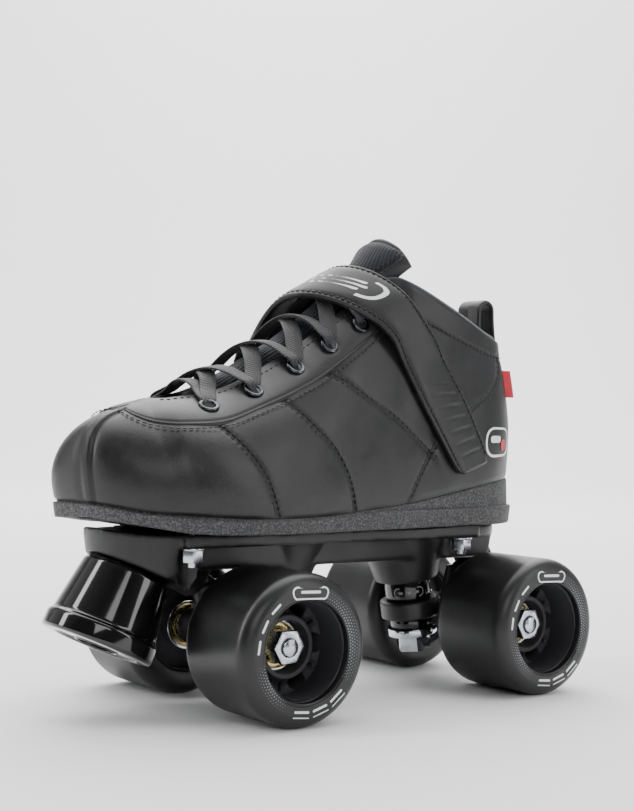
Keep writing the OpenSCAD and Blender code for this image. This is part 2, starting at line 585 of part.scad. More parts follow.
// One side of the upper, from the back seam round to the toe seam
module upper(side) {
    color("#2c2c2e") framed() difference() {
        boot_shell([for (i = [0:46]) let (k = side > 0 ? 46 - i : i)
            -side * mix(back_seam, seam_end, k / 46)], 0, 1, 0, leather_t);
        at_eyelets(side) eyelet_seat();
    }
}
module eyestays() {
    low_line = [[0.4, 0.8], [0.5, 0.68], [0.62, 0.65], [0.74, 0.62], [0.84, 0.62], [0.9, 0.74]];
    color("#303032") framed() for (side = [1, -1]) difference() {
        boot_shell([for (i = [0:20]) -side * mix(back_seam, seam_end, (21 + (side > 0 ? 20 - i : i)) / 46)],
            low_line, 0.995, stay_t, -0.3, 5);
        at_eyelets(side) eyelet_seat();
    }
}
module heel_counter() {
    color("#6f6a60") framed() boot_shell(round_heel(0.24, 12), 0.06, 0.55, -leather_t - 0.35, leather_t + 1.25, 4);
}
module collar_lining() {
    pad = [[0, leather_t + 2.6], [0.5, leather_t + 2.8], [0.8, leather_t + collar_pad_t],
        [1, leather_t + collar_pad_t - 1]];
    color("#1d2430") framed() boot_shell(round_heel(0.385, 18), 0.07, 0.985, -leather_t - 1.6, pad, 6);
}
// Tongue stations from the throat up: x, z above the plate, half width, arch, thickness
tongue_line = [[100, 50.5, 7, 1.5, 2.5], [84, 58, 12, 5.5, 4], [62, 70.5, 14, 10, 5], [41, 83, 14.5, 13, 5.5],
    [22, 97, 14.5, 14.5, 6], [8, 108.5, 14, 16, 6], [-3, 119.5, 14.5, 14, 7], [-12, 129.5, 21, 13, 7.5],
    [-19, 135, 19, 10, 6.5]];
function tongue_point(i, k, depth) = let (s = tongue_line[i], a = tongue_line[max(i - 1, 0)],
    b = tongue_line[min(i + 1, len(tongue_line) - 1)], d = unit([b[0] - a[0], b[1] - a[1]]),
    drop = s[3] * k * k + depth * (1 - 0.6 * pow(k, 4)))
    sized([s[0] + d[1] * -drop, s[2] * k, s[1] + d[0] * drop]);
module tongue() {
    ks = [for (k = [-5:5]) k / 5];
    color("#1b1e26") framed() loft([for (i = [0:len(tongue_line) - 1]) concat(
        [for (k = ks) tongue_point(i, k, 0)], [for (k = ks) tongue_point(i, -k, tongue_line[i][4])])], true);
}
// Stands a piece on the eyestay at each eyelet of one side, with Z straight out of the leather
module at_eyelets(side) {
    for (i = [0:len(eyelet_ts) - 1]) {
        n = outward(eyelet_ts[i], side, eyelet_vs[i]);
        translate(boot(eyelet_ts[i], side, eyelet_vs[i], stay_t + 0.05))
            rotate([0, acos(n[2]), atan2(n[1], n[0])]) children();
    }
}
// The punched hole, and above it the bed that the flange is pressed into
module eyelet_seat() {
    translate([0, 0, -leather_t - stay_t - 2]) cylinder(h = leather_t + stay_t + 3, d = eyelet_barrel_d + 0.2, $fn = 32);
    translate([0, 0, -0.05]) cylinder(h = 3, d = eyelet_d + 0.3, $fn = 32);
}
module eyelets() {
    barrel = leather_t + stay_t;
    color("#b8b8bc") framed() for (side = [1, -1]) at_eyelets(side) {
        ring(eyelet_d, eyelet_bore, eyelet_flange);
        translate([0, 0, -barrel]) ring(eyelet_barrel_d, eyelet_bore, barrel);
    }
}
// A lace runs from an eyelet across the tongue to the next eyelet on the other side
lace_t = 1.4;
over_flange = stay_t + eyelet_flange + 0.6;
reach = 0.16;                  // share of a lace's run between the eyelet and the eyestay's edge
function lace_point(i, j, side, k, off) = let (t = mix(eyelet_ts[i], eyelet_ts[j], k),
    rise = over_flange + (1.2 + off) * sin(180 * k))
    k < reach ? boot(t, side, mix(eyelet_vs[i], 1, k / reach), rise)
    : k > 1 - reach ? boot(t, -side, mix(eyelet_vs[j], 1, (1 - k) / reach), rise)
    : crown(t, side * mix(-1, 1, (k - reach) / (1 - 2 * reach)), rise);
function lace_up(i, j, side, k, off) = let (t = mix(eyelet_ts[i], eyelet_ts[j], k))
    k < reach ? outward(t, side, mix(eyelet_vs[i], 1, k / reach))
    : k > 1 - reach ? outward(t, -side, mix(eyelet_vs[j], 1, (1 - k) / reach))
    : let (q = side * mix(-1, 1, (k - reach) / (1 - 2 * reach))) unit(crown(t, q, 1) - crown(t, q, 0));
module lace_run(i, j, side, off) {
    n = 16;
    loft([for (m = [0:n]) let (k = mix(0.012, 0.988, m / n), p = lace_point(i, j, side, k, off),
        q = p + lace_up(i, j, side, k, off) * lace_t, a = lace_point(i, j, side, max(k - 0.03, 0), off),
        b = lace_point(i, j, side, min(k + 0.03, 1), off), w = unit(cross(b - a, q - p)) * lace_w / 2)
        [p - w, q - w, q + w, p + w]], false);
}
module laces() {
    rows = 3;
    color("#161618") framed() {
        lace_run(0, 0, 1, 0);
        for (i = [0:rows - 1]) {
            lace_run(i, i + 1, -1, 0);
            lace_run(i, i + 1, 1, lace_t + 0.5);
        }
    }
}
// The strap crosses the instep and comes down the outer side, u from 0, where it leaves the
// boot's side, to 1 at its end: u, t and v of its front and rear edges
strap_front = [[0, 0.497, 0.83], [0.5, 0.395, 0.47], [1, 0.283, 0.07]];
strap_rear = [[0, 0.392, 0.88], [0.5, 0.29, 0.55], [1, 0.208, 0.12]];
// On the inner side it lies further forward and is sewn down half way
inner_front = [[0, 0.61, 0.86], [1, 0.62, 0.3]];
inner_rear = [[0, 0.475, 0.9], [1, 0.5, 0.34]];
crest_front = [31, 0, 101.5];  // highest points of the strap's edges
crest_rear = [3, 0, 117];
strap_gap = 0.5;               // clear of the boot's side
edge_gap = stay_t + eyelet_flange + 1.1; // and of the eyelets on the eyestays
inner_edge_gap = over_flange + lace_t + 1.1; // and of the laces, on the inner side
hinge_u = 0.36;
outer_lap = [0.26, hinge_u];   // where the gap closes, down the outer side ...
inner_lap = [0.4, 0.66];       // ... and down the inner side, past the eyestay
function strap_side(u, w, side, off) = let (a = curve(side > 0 ? strap_front : inner_front, u),
    b = curve(side > 0 ? strap_rear : inner_rear, u),
    lap = side > 0 ? outer_lap : inner_lap, gap = side > 0 ? edge_gap : inner_edge_gap,
    lift = mix(gap, strap_gap, max(0, min((u - lap[0]) / (lap[1] - lap[0]), 1))))
    boot(mix(a[1], b[1], w), side, mix(a[2], b[2], w), off + lift);
function strap_arch(q, w, off) = let (foot = strap_side(0, w, q < 0 ? 1 : -1, off), h = abs(q),
    crest = sized(mix(crest_front, crest_rear, w)) + [0, 0, off])
    [mix(crest[0], foot[0], pow(h, 1.3)), foot[1] * h, mix(crest[2], foot[2], pow(h, 2.4))];
module strap_solid(rows) {
    loft([for (r = rows) [for (layer = [0, 1], k = [0:5]) let (w = (layer == 0 ? k : 5 - k) / 5,
        off = layer == 0 ? strap_t : 0)
        r[0] == 0 ? strap_arch(r[1], w, off) : strap_side(r[1], w, r[0], off)]], true);
}
split = 0.004;
module strap() {
    rows = concat([for (i = [0:6]) [-1, 1 - i / 6]], [for (i = [-7:7]) [0, -i / 8]],
        [for (i = [0:5]) [1, mix(0, hinge_u - split, i / 5)]]);
    color("#2f2f31") framed() strap_solid(rows);
}
module strap_tail() {
    color("#2f2f31") framed() strap_solid([for (i = [0:9]) [1, mix(hinge_u + split, 1, i / 9)]]);
}
// Heel pull loop: a band folded over at the top of the collar's back
module pull_loop() {
    band = 2;
    r = 5.5;
    h = 21;
    foot = 12;
    heel = sized([-82.5, 0, 88]);
    color("#141416") framed() translate(heel) rotate([90, 0, 0]) translate([0, 0, -loop_w / 2])
        linear_extrude(loop_w) {
            translate([0, h - r]) difference() {
                circle(r, $fn = 48);
                circle(r - band, $fn = 48);
                translate([-20, -40]) square([40, 40]);
            }
            translate([-r, 1.5]) square([band, h - r - 1.5 + eps]);
            translate([r - band, -foot]) square([band, h - r + foot + eps]);
        }
}

outsole();
lasting_board();
insole();
upper(1);  // upper_outer
upper(-1);  // upper_inner
eyestays();
heel_counter();
collar_lining();
tongue();
laces();
eyelets();
strap();
strap_tail();
pull_loop();
plate();
mount_bolts();
mount_washers();
mount_nuts();
toe_stop();
toe_stop_bolt();
toe_stop_washer();
toe_stop_nut();
kingpins();
kingpin_inserts();
cup_washers();
pivot_cups();
upper_cushion(1);  // front_upper_cushion
upper_cushion(-1);  // rear_upper_cushion
lower_cushion(1);  // front_lower_cushion
lower_cushion(-1);  // rear_lower_cushion
hanger(1);  // front_hanger
hanger(-1);  // rear_hanger
axle(1);  // front_axle
axle(-1);  // rear_axle
axle_nuts(1);  // front_axle_nuts
axle_nuts(-1);  // rear_axle_nuts
inner_races(1);  // front_inner_races
inner_races(-1);  // rear_inner_races
spacers(1);  // front_spacers
spacers(-1);  // rear_spacers
tyre(1, 1);  // tyre_fl
tyre(1, -1);  // tyre_fr
tyre(-1, 1);  // tyre_rl
tyre(-1, -1);  // tyre_rr
hub(1, 1);  // hub_fl
hub(1, -1);  // hub_fr
hub(-1, 1);  // hub_rl
hub(-1, -1);  // hub_rr
outer_races(1, 1);  // outer_races_fl
outer_races(1, -1);  // outer_races_fr
outer_races(-1, 1);  // outer_races_rl
outer_races(-1, -1);  // outer_races_rr
shields(1, 1);  // shields_fl
shields(1, -1);  // shields_fr
shields(-1, 1);  // shields_rl
shields(-1, -1);  // shields_rr
balls(1, 1);  // balls_fl
balls(1, -1);  // balls_fr
balls(-1, 1);  // balls_rl
balls(-1, -1);  // balls_rr
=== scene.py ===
"""A left quad roller skate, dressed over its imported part.

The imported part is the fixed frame: every piece here rides on one of its bodies and takes its place
from the part's own sizes. Shapes are worked out in millimetres, in a frame whose middle is half way
between the axles and whose floor is z = 0, and become metres in the part's frame as a mesh is made.
"""

from __future__ import annotations

import json
import logging
from dataclasses import dataclass, field
from enum import Enum
from typing import Callable, Sequence

import bmesh
import bpy
import numpy as np
from mathutils import Matrix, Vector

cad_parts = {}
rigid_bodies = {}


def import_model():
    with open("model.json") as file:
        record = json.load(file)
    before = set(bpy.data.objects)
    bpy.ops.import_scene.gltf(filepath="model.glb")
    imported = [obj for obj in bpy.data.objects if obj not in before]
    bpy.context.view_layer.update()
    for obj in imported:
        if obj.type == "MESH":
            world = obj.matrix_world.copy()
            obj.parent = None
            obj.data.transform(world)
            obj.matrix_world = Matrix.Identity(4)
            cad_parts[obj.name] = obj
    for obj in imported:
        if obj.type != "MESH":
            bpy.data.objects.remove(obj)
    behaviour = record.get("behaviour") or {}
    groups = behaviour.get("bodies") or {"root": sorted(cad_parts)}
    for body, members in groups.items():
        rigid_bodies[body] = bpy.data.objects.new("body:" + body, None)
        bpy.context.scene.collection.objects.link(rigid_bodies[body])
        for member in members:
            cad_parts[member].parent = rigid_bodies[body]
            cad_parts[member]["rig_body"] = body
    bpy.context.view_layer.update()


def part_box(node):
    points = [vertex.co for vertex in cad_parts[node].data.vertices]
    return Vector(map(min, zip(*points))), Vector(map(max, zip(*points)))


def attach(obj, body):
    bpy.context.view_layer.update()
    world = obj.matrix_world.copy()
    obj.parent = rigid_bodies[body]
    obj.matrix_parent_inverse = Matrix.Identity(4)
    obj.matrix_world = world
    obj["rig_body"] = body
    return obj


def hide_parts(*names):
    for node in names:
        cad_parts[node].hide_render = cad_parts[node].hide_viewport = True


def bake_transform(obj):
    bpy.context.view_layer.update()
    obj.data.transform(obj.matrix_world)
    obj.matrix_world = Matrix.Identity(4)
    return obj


log = logging.getLogger("skate")

Array = np.ndarray
Socket = bpy.types.NodeSocket

MM = 0.001
DECK = 75.5  # height of the plate's top, under the sole
AXLE_X = 69.0  # half the wheelbase
AXLE_Z = 31.0
UP = np.array([0.0, 0.0, 1.0])


class Body(Enum):
    """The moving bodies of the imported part."""

    BOOT = "boot_and_plate"
    FRONT_TRUCK = "front_truck"
    REAR_TRUCK = "rear_truck"
    STRAP_TAIL = "strap_tail"


class Side(Enum):
    """The two sides of the boot: the outer one faces away from the other foot."""

    OUTER = 1
    INNER = -1


class End(Enum):
    """The two ends of the skate."""

    FRONT = 1
    REAR = -1


# ---------------------------------------------------------------- small tools


def frame_shift() -> float:
    """Gives how far the part's frame sits ahead of the middle of the axles, in millimetres."""
    low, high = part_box("front_axle")
    return AXLE_X - (low.x + high.x) / 2 / MM


def linear(code: str) -> tuple[float, float, float, float]:
    """Turns an sRGB hex colour into linear RGBA.

    Args:
        code: the colour, such as "#1b1b1d".

    Returns:
        Red, green, blue and an alpha of 1.
    """
    part = np.array([int(code[i : i + 2], 16) for i in (1, 3, 5)]) / 255
    out = np.where(part <= 0.04045, part / 12.92, ((part + 0.055) / 1.055) ** 2.4)
    return (float(out[0]), float(out[1]), float(out[2]), 1.0)


def mix(a: Array | float, b: Array | float, k: Array | float) -> Array | float:
    """Gives the blend of a and b, a where k is 0 and b where it is 1."""
    return a + (b - a) * k


def smooth(low: float, high: float, x: Array) -> Array:
    """Gives an S-shaped step that is 0 below low and 1 above high."""
    k = np.clip((x - low) / (high - low), 0, 1)
    return k * k * (3 - 2 * k)


def unit(v: Array) -> Array:
    """Gives vectors of length 1 along the last axis."""
    return v / np.maximum(np.linalg.norm(v, axis=-1, keepdims=True), 1e-12)


def curve(table: Array, t: Array | float) -> Array:
    """Runs a smooth curve through a table's rows, with each slope from the rows on both sides.

    Args:
        table: rows whose first column is the position, in rising order.
        t: the positions asked for.

    Returns:
        One interpolated row for each position, the position itself in its first column.
    """
    t = np.atleast_1d(np.asarray(t, float))
    at, rows = table[:, 0], len(table)
    i = np.clip(np.searchsorted(at, t, side="right") - 1, 0, rows - 2)
    before, after = np.maximum(np.arange(rows) - 1, 0), np.minimum(np.arange(rows) + 1, rows - 1)
    slope = (table[after] - table[before]) / (at[after] - at[before])[:, None]
    h = (at[i + 1] - at[i])[:, None]
    u = (t - at[i])[:, None] / h
    return (
        (1 + 2 * u) * (1 - u) ** 2 * table[i]
        + u * (1 - u) ** 2 * h * slope[i]
        + u * u * (3 - 2 * u) * table[i + 1]
        + u * u * (u - 1) * h * slope[i + 1]
    )


def grid_faces(rows: int, cols: int, wrap_rows: bool = False, wrap_cols: bool = False) -> Array:
    """Gives the quads of a grid of points stored row by row, closed round where asked."""
    i = np.arange(rows if wrap_rows else rows - 1)[:, None]
    j = np.arange(cols if wrap_cols else cols - 1)[None, :]
    below, right = (i + 1) % rows, (j + 1) % cols
    quads = [i * cols + j, below * cols + j, below * cols + right, i * cols + right]
    return np.stack([np.broadcast_to(q, (i.shape[0], j.shape[1])) for q in quads], -1).reshape(-1, 4)


def make_piece(
    name: str,
    points: Array,
    faces: Array | Sequence[Array],
    finish: "Finish",
    *,
    closed: bool = True,
    uv: Array | None = None,
    shades: dict[str, Array] | None = None,
    facing: Array | None = None,
    edge: float = 40,
) -> bpy.types.Object:
    """Puts points and faces into a mesh object whose place is in its mesh.

    Args:
        name: the piece's name.
        points: points in millimetres, in the axle frame.
        faces: one array of faces, or several with different numbers of corners.
        finish: the surface finish.
        closed: True where the surface is shut, so that its normals can be turned outwards.
        uv: two numbers for each point, in millimetres along the surface.
        shades: named numbers for each point, which finishes read.
        facing: for an open surface, a direction that its faces look along.
        edge: edges sharper than this angle in degrees stay crisp.

    Returns:
        The new object, linked to the scene.
    """
    groups = [faces] if isinstance(faces, np.ndarray) else list(faces)
    points = points.reshape(-1, 3)
    if facing is not None:
        quads = groups[0]
        a, b, c = (points[quads[:, k]] for k in (0, 1, 2))
        if (np.cross(b - a, c - a) @ facing).sum() < 0:
            groups = [g[:, ::-1] for g in groups]
    mesh = bpy.data.meshes.new(name)
    mesh.vertices.add(len(points))
    place = (points - [frame_shift(), 0, 0]) * MM
    mesh.vertices.foreach_set("co", place.astype(np.float32).ravel())
    corners = np.concatenate([g.ravel() for g in groups]).astype(np.int32)
    counts = np.concatenate([np.full(len(g), g.shape[1]) for g in groups])
    mesh.loops.add(len(corners))
    mesh.loops.foreach_set("vertex_index", corners)
    mesh.polygons.add(len(counts))
    starts = np.concatenate([[0], np.cumsum(counts)[:-1]])
    mesh.polygons.foreach_set("loop_start", starts.astype(np.int32))
    if uv is not None:
        layer = mesh.uv_layers.new(name="UVMap")
        layer.data.foreach_set("uv", uv.reshape(-1, 2)[corners].astype(np.float32).ravel())
    for shade, values in (shades or {}).items():
        attribute = mesh.attributes.new(shade, "FLOAT", "POINT")
        attribute.data.foreach_set("value", values.astype(np.float32).ravel())
    mesh.update(calc_edges=True)
    mesh.validate()
    if closed:
        work = bmesh.new()
        work.from_mesh(mesh)
        bmesh.ops.remove_doubles(work, verts=work.verts, dist=2e-6)
        bmesh.ops.recalc_face_normals(work, faces=work.faces)
        work.to_mesh(mesh)
        work.free()
    mesh.shade_smooth()
    mesh.set_sharp_from_angle(angle=np.radians(edge))
    piece = bpy.data.objects.new(name, mesh)
    bpy.context.scene.collection.objects.link(piece)
    piece.data.materials.append(finish.make())
    return piece


def place_piece(
    piece: bpy.types.Object, body: Body | str, slot: str, replaces: Sequence[str] = ()
) -> bpy.types.Object:
    """Rides a piece on a body, hides what it stands for and logs it.

    Args:
        piece: the finished piece.
        body: the body it moves with.
        slot: the record's material slot; not used.
        replaces: CAD nodes that it stands for.

    Returns:
        The same piece.
    """
    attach(piece, body.value if isinstance(body, Body) else body)
    if replaces:
        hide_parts(*replaces)
    log.info("%-28s %7d faces on %s", piece.name, len(piece.data.polygons), piece["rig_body"])
    return piece


def shut_shell(outside: Array, inside: Array) -> tuple[Array, Array]:
    """Joins two equal grids of points into one closed wall, with its four rims.

    Args:
        outside: rows by columns by 3 points of the outer face.
        inside: the same for the inner face.

    Returns:
        The points and the quads.
    """
    rows, cols = outside.shape[:2]
    front = grid_faces(rows, cols)
    back = front[:, ::-1] + rows * cols
    ring = np.concatenate(
        [
            np.arange(cols - 1),
            np.arange(rows - 1) * cols + cols - 1,
            np.arange(cols - 1, 0, -1) + (rows - 1) * cols,
            np.arange(rows - 1, 0, -1) * cols,
        ]
    )
    after = np.roll(ring, -1)
    rim = np.stack([ring, after, after + rows * cols, ring + rows * cols], 1)
    points = np.concatenate([outside.reshape(-1, 3), inside.reshape(-1, 3)])
    return points, np.concatenate([front, back, rim])


def normals_of(grid: Array) -> Array:
    """Gives unit normals of a grid of points, from the cross product of its two slopes."""
    return unit(np.cross(np.gradient(grid, axis=0), np.gradient(grid, axis=1)))


def soften(grid: Array, passes: int, keep_ends: bool = True) -> Array:
    """Evens a grid of points along its first axis by repeated averaging of neighbours."""
    out = grid.copy()
    for _ in range(passes):
        out[1:-1] = 0.25 * out[:-2] + 0.5 * out[1:-1] + 0.25 * out[2:]
        if not keep_ends:
            out[0], out[-1] = out[1], out[-2]
    return out


def sample(grid: Array, row: Array, col: Array) -> Array:
    """Reads a grid of points between its rows and columns, by the weights of the four nearest.

    Args:
        grid: rows by columns by 3.
        row: positions along the rows, from 0 to 1.
        col: positions along the columns, from 0 to 1.

    Returns:
        One point for each position.
    """
    a = np.clip(row, 0, 1) * (grid.shape[0] - 1)
    b = np.clip(col, 0, 1) * (grid.shape[1] - 1)
    i = np.clip(a.astype(int), 0, grid.shape[0] - 2)
    j = np.clip(b.astype(int), 0, grid.shape[1] - 2)
    x, y = (a - i)[..., None], (b - j)[..., None]
    near = mix(grid[i, j], grid[i, j + 1], y)
    return mix(near, mix(grid[i + 1, j], grid[i + 1, j + 1], y), x)


def lengths(path: Array) -> Array:
    """Gives the distance along a path at each of its points."""
    steps = np.linalg.norm(np.diff(path, axis=0), axis=1)
    return np.concatenate([[0], np.cumsum(steps)])


def respace(path: Array, at: Array) -> Array:
    """Gives the points of a path, or values along it, at given distances."""
    along = lengths(path[:, :3])
    return np.stack([np.interp(at, along, path[:, k]) for k in range(path.shape[1])], 1)


def revolve(
    profile: Array, origin: Array, axis: Array, turns: int = 96, ripple: Callable | None = None
) -> tuple[Array, Array]:
    """Turns a closed outline of radius and height round an axis.

    Args:
        profile: rows of radius and height along the axis, in order round the outline.
        origin: the axis's foot.
        axis: its direction.
        turns: steps round the axis.
        ripple: gives an added radius from the angle and the height.

    Returns:
        The points and the quads. A radius of 0 gives a pole, which closes when doubles merge.
    """
    axis = unit(np.asarray(axis, float))
    side = unit(np.cross(axis, [0.31, 0.2, 0.93] if abs(axis[2]) < 0.9 else [1.0, 0.0, 0.0]))
    other = np.cross(axis, side)
    angle = np.linspace(0, 2 * np.pi, turns, endpoint=False)[:, None]
    radius, height = profile[None, :, 0], profile[None, :, 1]
    if ripple is not None:
        radius = radius + ripple(angle, height) * (radius > 0)
    around = np.cos(angle)[..., None] * side + np.sin(angle)[..., None] * other
    points = np.asarray(origin) + around * radius[..., None] + height[..., None] * axis
    return points, grid_faces(turns, len(profile), wrap_rows=True, wrap_cols=True)


def rounded(corners: Sequence[Sequence[float]], steps: int = 5) -> Array:
    """Rounds the corners of a closed outline.

    Args:
        corners: rows of x, y and the corner's radius.
        steps: points on each rounded corner.

    Returns:
        The outline's points: each corner is a curve between the points its radius reaches along
        both sides, pulled towards the corner itself.
    """
    table = np.asarray(corners, float)
    p, before, after = table[:, :2], np.roll(table, 1, 0)[:, :2], np.roll(table, -1, 0)[:, :2]
    back, on = before - p, after - p
    reach = np.minimum(table[:, 2], 0.49 * np.minimum(*(np.linalg.norm(v, axis=1) for v in (back, on))))
    a, c = p + unit(back) * reach[:, None], p + unit(on) * reach[:, None]
    k = np.linspace(0, 1, steps)[None, :, None]
    arcs = (1 - k) ** 2 * a[:, None] + 2 * k * (1 - k) * p[:, None] + k * k * c[:, None]
    flat = arcs.reshape(-1, 2)
    keep = np.linalg.norm(flat - np.roll(flat, 1, 0), axis=1) > 1e-4
    return flat[keep]


def merged_copy(
    node: str, finish: "Finish", *, bevel: float = 0.0, voxel: float = 0.0, passes: int = 0
) -> bpy.types.Object:
    """Copies a CAD node's shape, joins its loose triangles and softens its edges.

    Args:
        node: the CAD node's name.
        finish: the surface finish.
        bevel: width of a rounded edge in millimetres, or 0 for none.
        voxel: size of the even grid the shape is rebuilt on, for cast or moulded fillets, or 0.
        passes: rounds of smoothing after it is rebuilt.

    Returns:
        The new piece, with its modifiers applied.
    """
    source = bpy.data.objects[node]
    mesh = source.data.copy()
    work = bmesh.new()
    work.from_mesh(mesh)
    bmesh.ops.remove_doubles(work, verts=work.verts, dist=1e-6)
    if bevel:
        bmesh.ops.dissolve_limit(
            work, angle_limit=np.radians(1.0), verts=work.verts, edges=work.edges
        )
    work.to_mesh(mesh)
    work.free()
    piece = bpy.data.objects.new(f"{node}_shape", mesh)
    bpy.context.scene.collection.objects.link(piece)
    if voxel:
        change = piece.modifiers.new("rebuild", "REMESH")
        change.mode, change.voxel_size = "VOXEL", voxel * MM
        even = piece.modifiers.new("even", "SMOOTH")
        even.factor, even.iterations = 0.5, passes
    if bevel:
        change = piece.modifiers.new("edges", "BEVEL")
        change.width, change.segments = bevel * MM, 2
        change.limit_method, change.angle_limit = "ANGLE", np.radians(28)
        change.use_clamp_overlap, change.miter_outer = True, "MITER_ARC"
    shaped = bpy.data.meshes.new_from_object(
        piece.evaluated_get(bpy.context.evaluated_depsgraph_get())
    )
    piece.modifiers.clear()
    piece.data = shaped
    shaped.materials.clear()
    shaped.materials.append(finish.make())
    shaped.shade_smooth()
    shaped.set_sharp_from_angle(angle=np.radians(32 if bevel else 60))
    return piece


# ---------------------------------------------------------------- finishes


class Canvas:
    """One material's node tree, with its Principled shader."""

    def __init__(self, name: str) -> None:
        """Starts an empty material of that name with a shader and an output."""
        self.material = bpy.data.materials.new(name)
        self.material.use_nodes = True
        self.tree = self.material.node_tree
        self.tree.nodes.clear()
        self.shader = self.add("ShaderNodeBsdfPrincipled")
        self.add("ShaderNodeOutputMaterial", {"Surface": self.shader.outputs[0]})

    def add(self, kind: str, inputs: dict | None = None, **settings: object) -> bpy.types.Node:
        """Adds a node with its settings and links.

        Args:
            kind: Blender's name for the node.
            inputs: socket names or numbers, each with a value or the socket it is linked from.
            **settings: the node's properties.

        Returns:
            The new node.
        """
        node = self.tree.nodes.new(kind)
        for name, value in settings.items():
            setattr(node, name, value)
        for key, value in (inputs or {}).items():
            if isinstance(value, Socket):
                self.tree.links.new(value, node.inputs[key])
            else:
                node.inputs[key].default_value = value
        return node

    def sum_of(self, *parts: tuple[Socket, float]) -> Socket:
        """Adds up sockets, each multiplied by its share."""
        total = None
        for socket, share in parts:
            inputs = {0: socket, 1: share, 2: 0.0 if total is None else total}
            total = self.add("ShaderNodeMath", inputs, operation="MULTIPLY_ADD").outputs[0]
        return total

    def spread(self, value: Socket, low: float, high: float, to_low: float = 0.0,
        to_high: float = 1.0) -> Socket:
        """Stretches a value's range from low to high onto another range, clamped."""
        inputs = {"Value": value, "From Min": low, "From Max": high, "To Min": to_low, "To Max": to_high}
        return self.add("ShaderNodeMapRange", inputs).outputs[0]

    def blend(self, share: Socket | float, a: object, b: object) -> Socket:
        """Mixes two colours, a where share is 0 and b where it is 1."""
        return self.add("ShaderNodeMix", {0: share, 6: a, 7: b}, data_type="RGBA").outputs[2]

    def relief(self, height: Socket, depth_mm: float, strength: float = 1.0) -> None:
        """Turns a height of 0 to 1 into bumps of that depth in millimetres."""
        bump = self.add("ShaderNodeBump", {"Height": height, "Distance": depth_mm * MM, "Strength": strength})
        self.tree.links.new(bump.outputs[0], self.shader.inputs["Normal"])

    def feed(self, name: str, socket: Socket) -> None:
        """Links a socket into the shader's input of that name."""
        self.tree.links.new(socket, self.shader.inputs[name])

    def place(self) -> Socket:
        """Gives the object coordinates, in metres."""
        return self.add("ShaderNodeTexCoord").outputs["Object"]

    def grain(self, size_mm: float, detail: float = 2.0, roughness: float = 0.5) -> Socket:
        """Gives even noise whose lumps are about that wide."""
        inputs = {"Vector": self.place(), "Scale": 1 / (size_mm * MM), "Detail": detail,
            "Roughness": roughness}
        return self.add("ShaderNodeTexNoise", inputs).outputs[0]

    def weave_axes(self) -> tuple[Socket, Socket]:
        """Gives the piece's own two surface coordinates, in millimetres."""
        split = self.add("ShaderNodeSeparateXYZ", {0: self.add("ShaderNodeUVMap", uv_map="UVMap").outputs[0]})
        return split.outputs[0], split.outputs[1]

    def waves(self, along: Socket, pitch_mm: float, shift: Socket | float = 0.0) -> Socket:
        """Gives a wave from 0 to 1 that repeats every pitch along a coordinate in millimetres."""
        turned = self.add(
            "ShaderNodeMath", {0: along, 1: 2 * np.pi / pitch_mm, 2: shift}, operation="MULTIPLY_ADD"
        )
        wave = self.add("ShaderNodeMath", {0: turned.outputs[0]}, operation="SINE")
        return self.add("ShaderNodeMath", {0: wave.outputs[0], 1: 0.5, 2: 0.5},
            operation="MULTIPLY_ADD").outputs[0]


@dataclass(frozen=True)
class Finish:
    """A surface finish: what it is called, its colour and how it takes light."""

    name: str
    colour: str
    roughness: float
    metallic: float = 0.0
    ior: float = 1.5
    coat: float = 0.0
    coat_roughness: float = 0.1
    sheen: float = 0.0

    def make(self) -> bpy.types.Material:
        """Builds the material the first time it is asked for, and gives the same one after that."""
        known = bpy.data.materials.get(self.name)
        if known is not None:
            return known
        canvas = Canvas(self.name)
        inputs = canvas.shader.inputs
        inputs["Base Color"].default_value = linear(self.colour)
        inputs["Roughness"].default_value = self.roughness
        inputs["Metallic"].default_value = self.metallic
        inputs["IOR"].default_value = self.ior
        inputs["Coat Weight"].default_value = self.coat
        inputs["Coat Roughness"].default_value = self.coat_roughness
        inputs["Sheen Weight"].default_value = self.sheen
        inputs["Sheen Roughness"].default_value = 0.4
        self.dress(canvas)
        return canvas.material

    def dress(self, canvas: Canvas) -> None:
        """Adds the finish's pattern: here, a faint unevenness of gloss from handling and moulding."""
        cloud = canvas.grain(9.0, 3.0)
        canvas.feed("Roughness", canvas.spread(cloud, 0.3, 0.7, self.roughness * 0.88, self.roughness * 1.15))


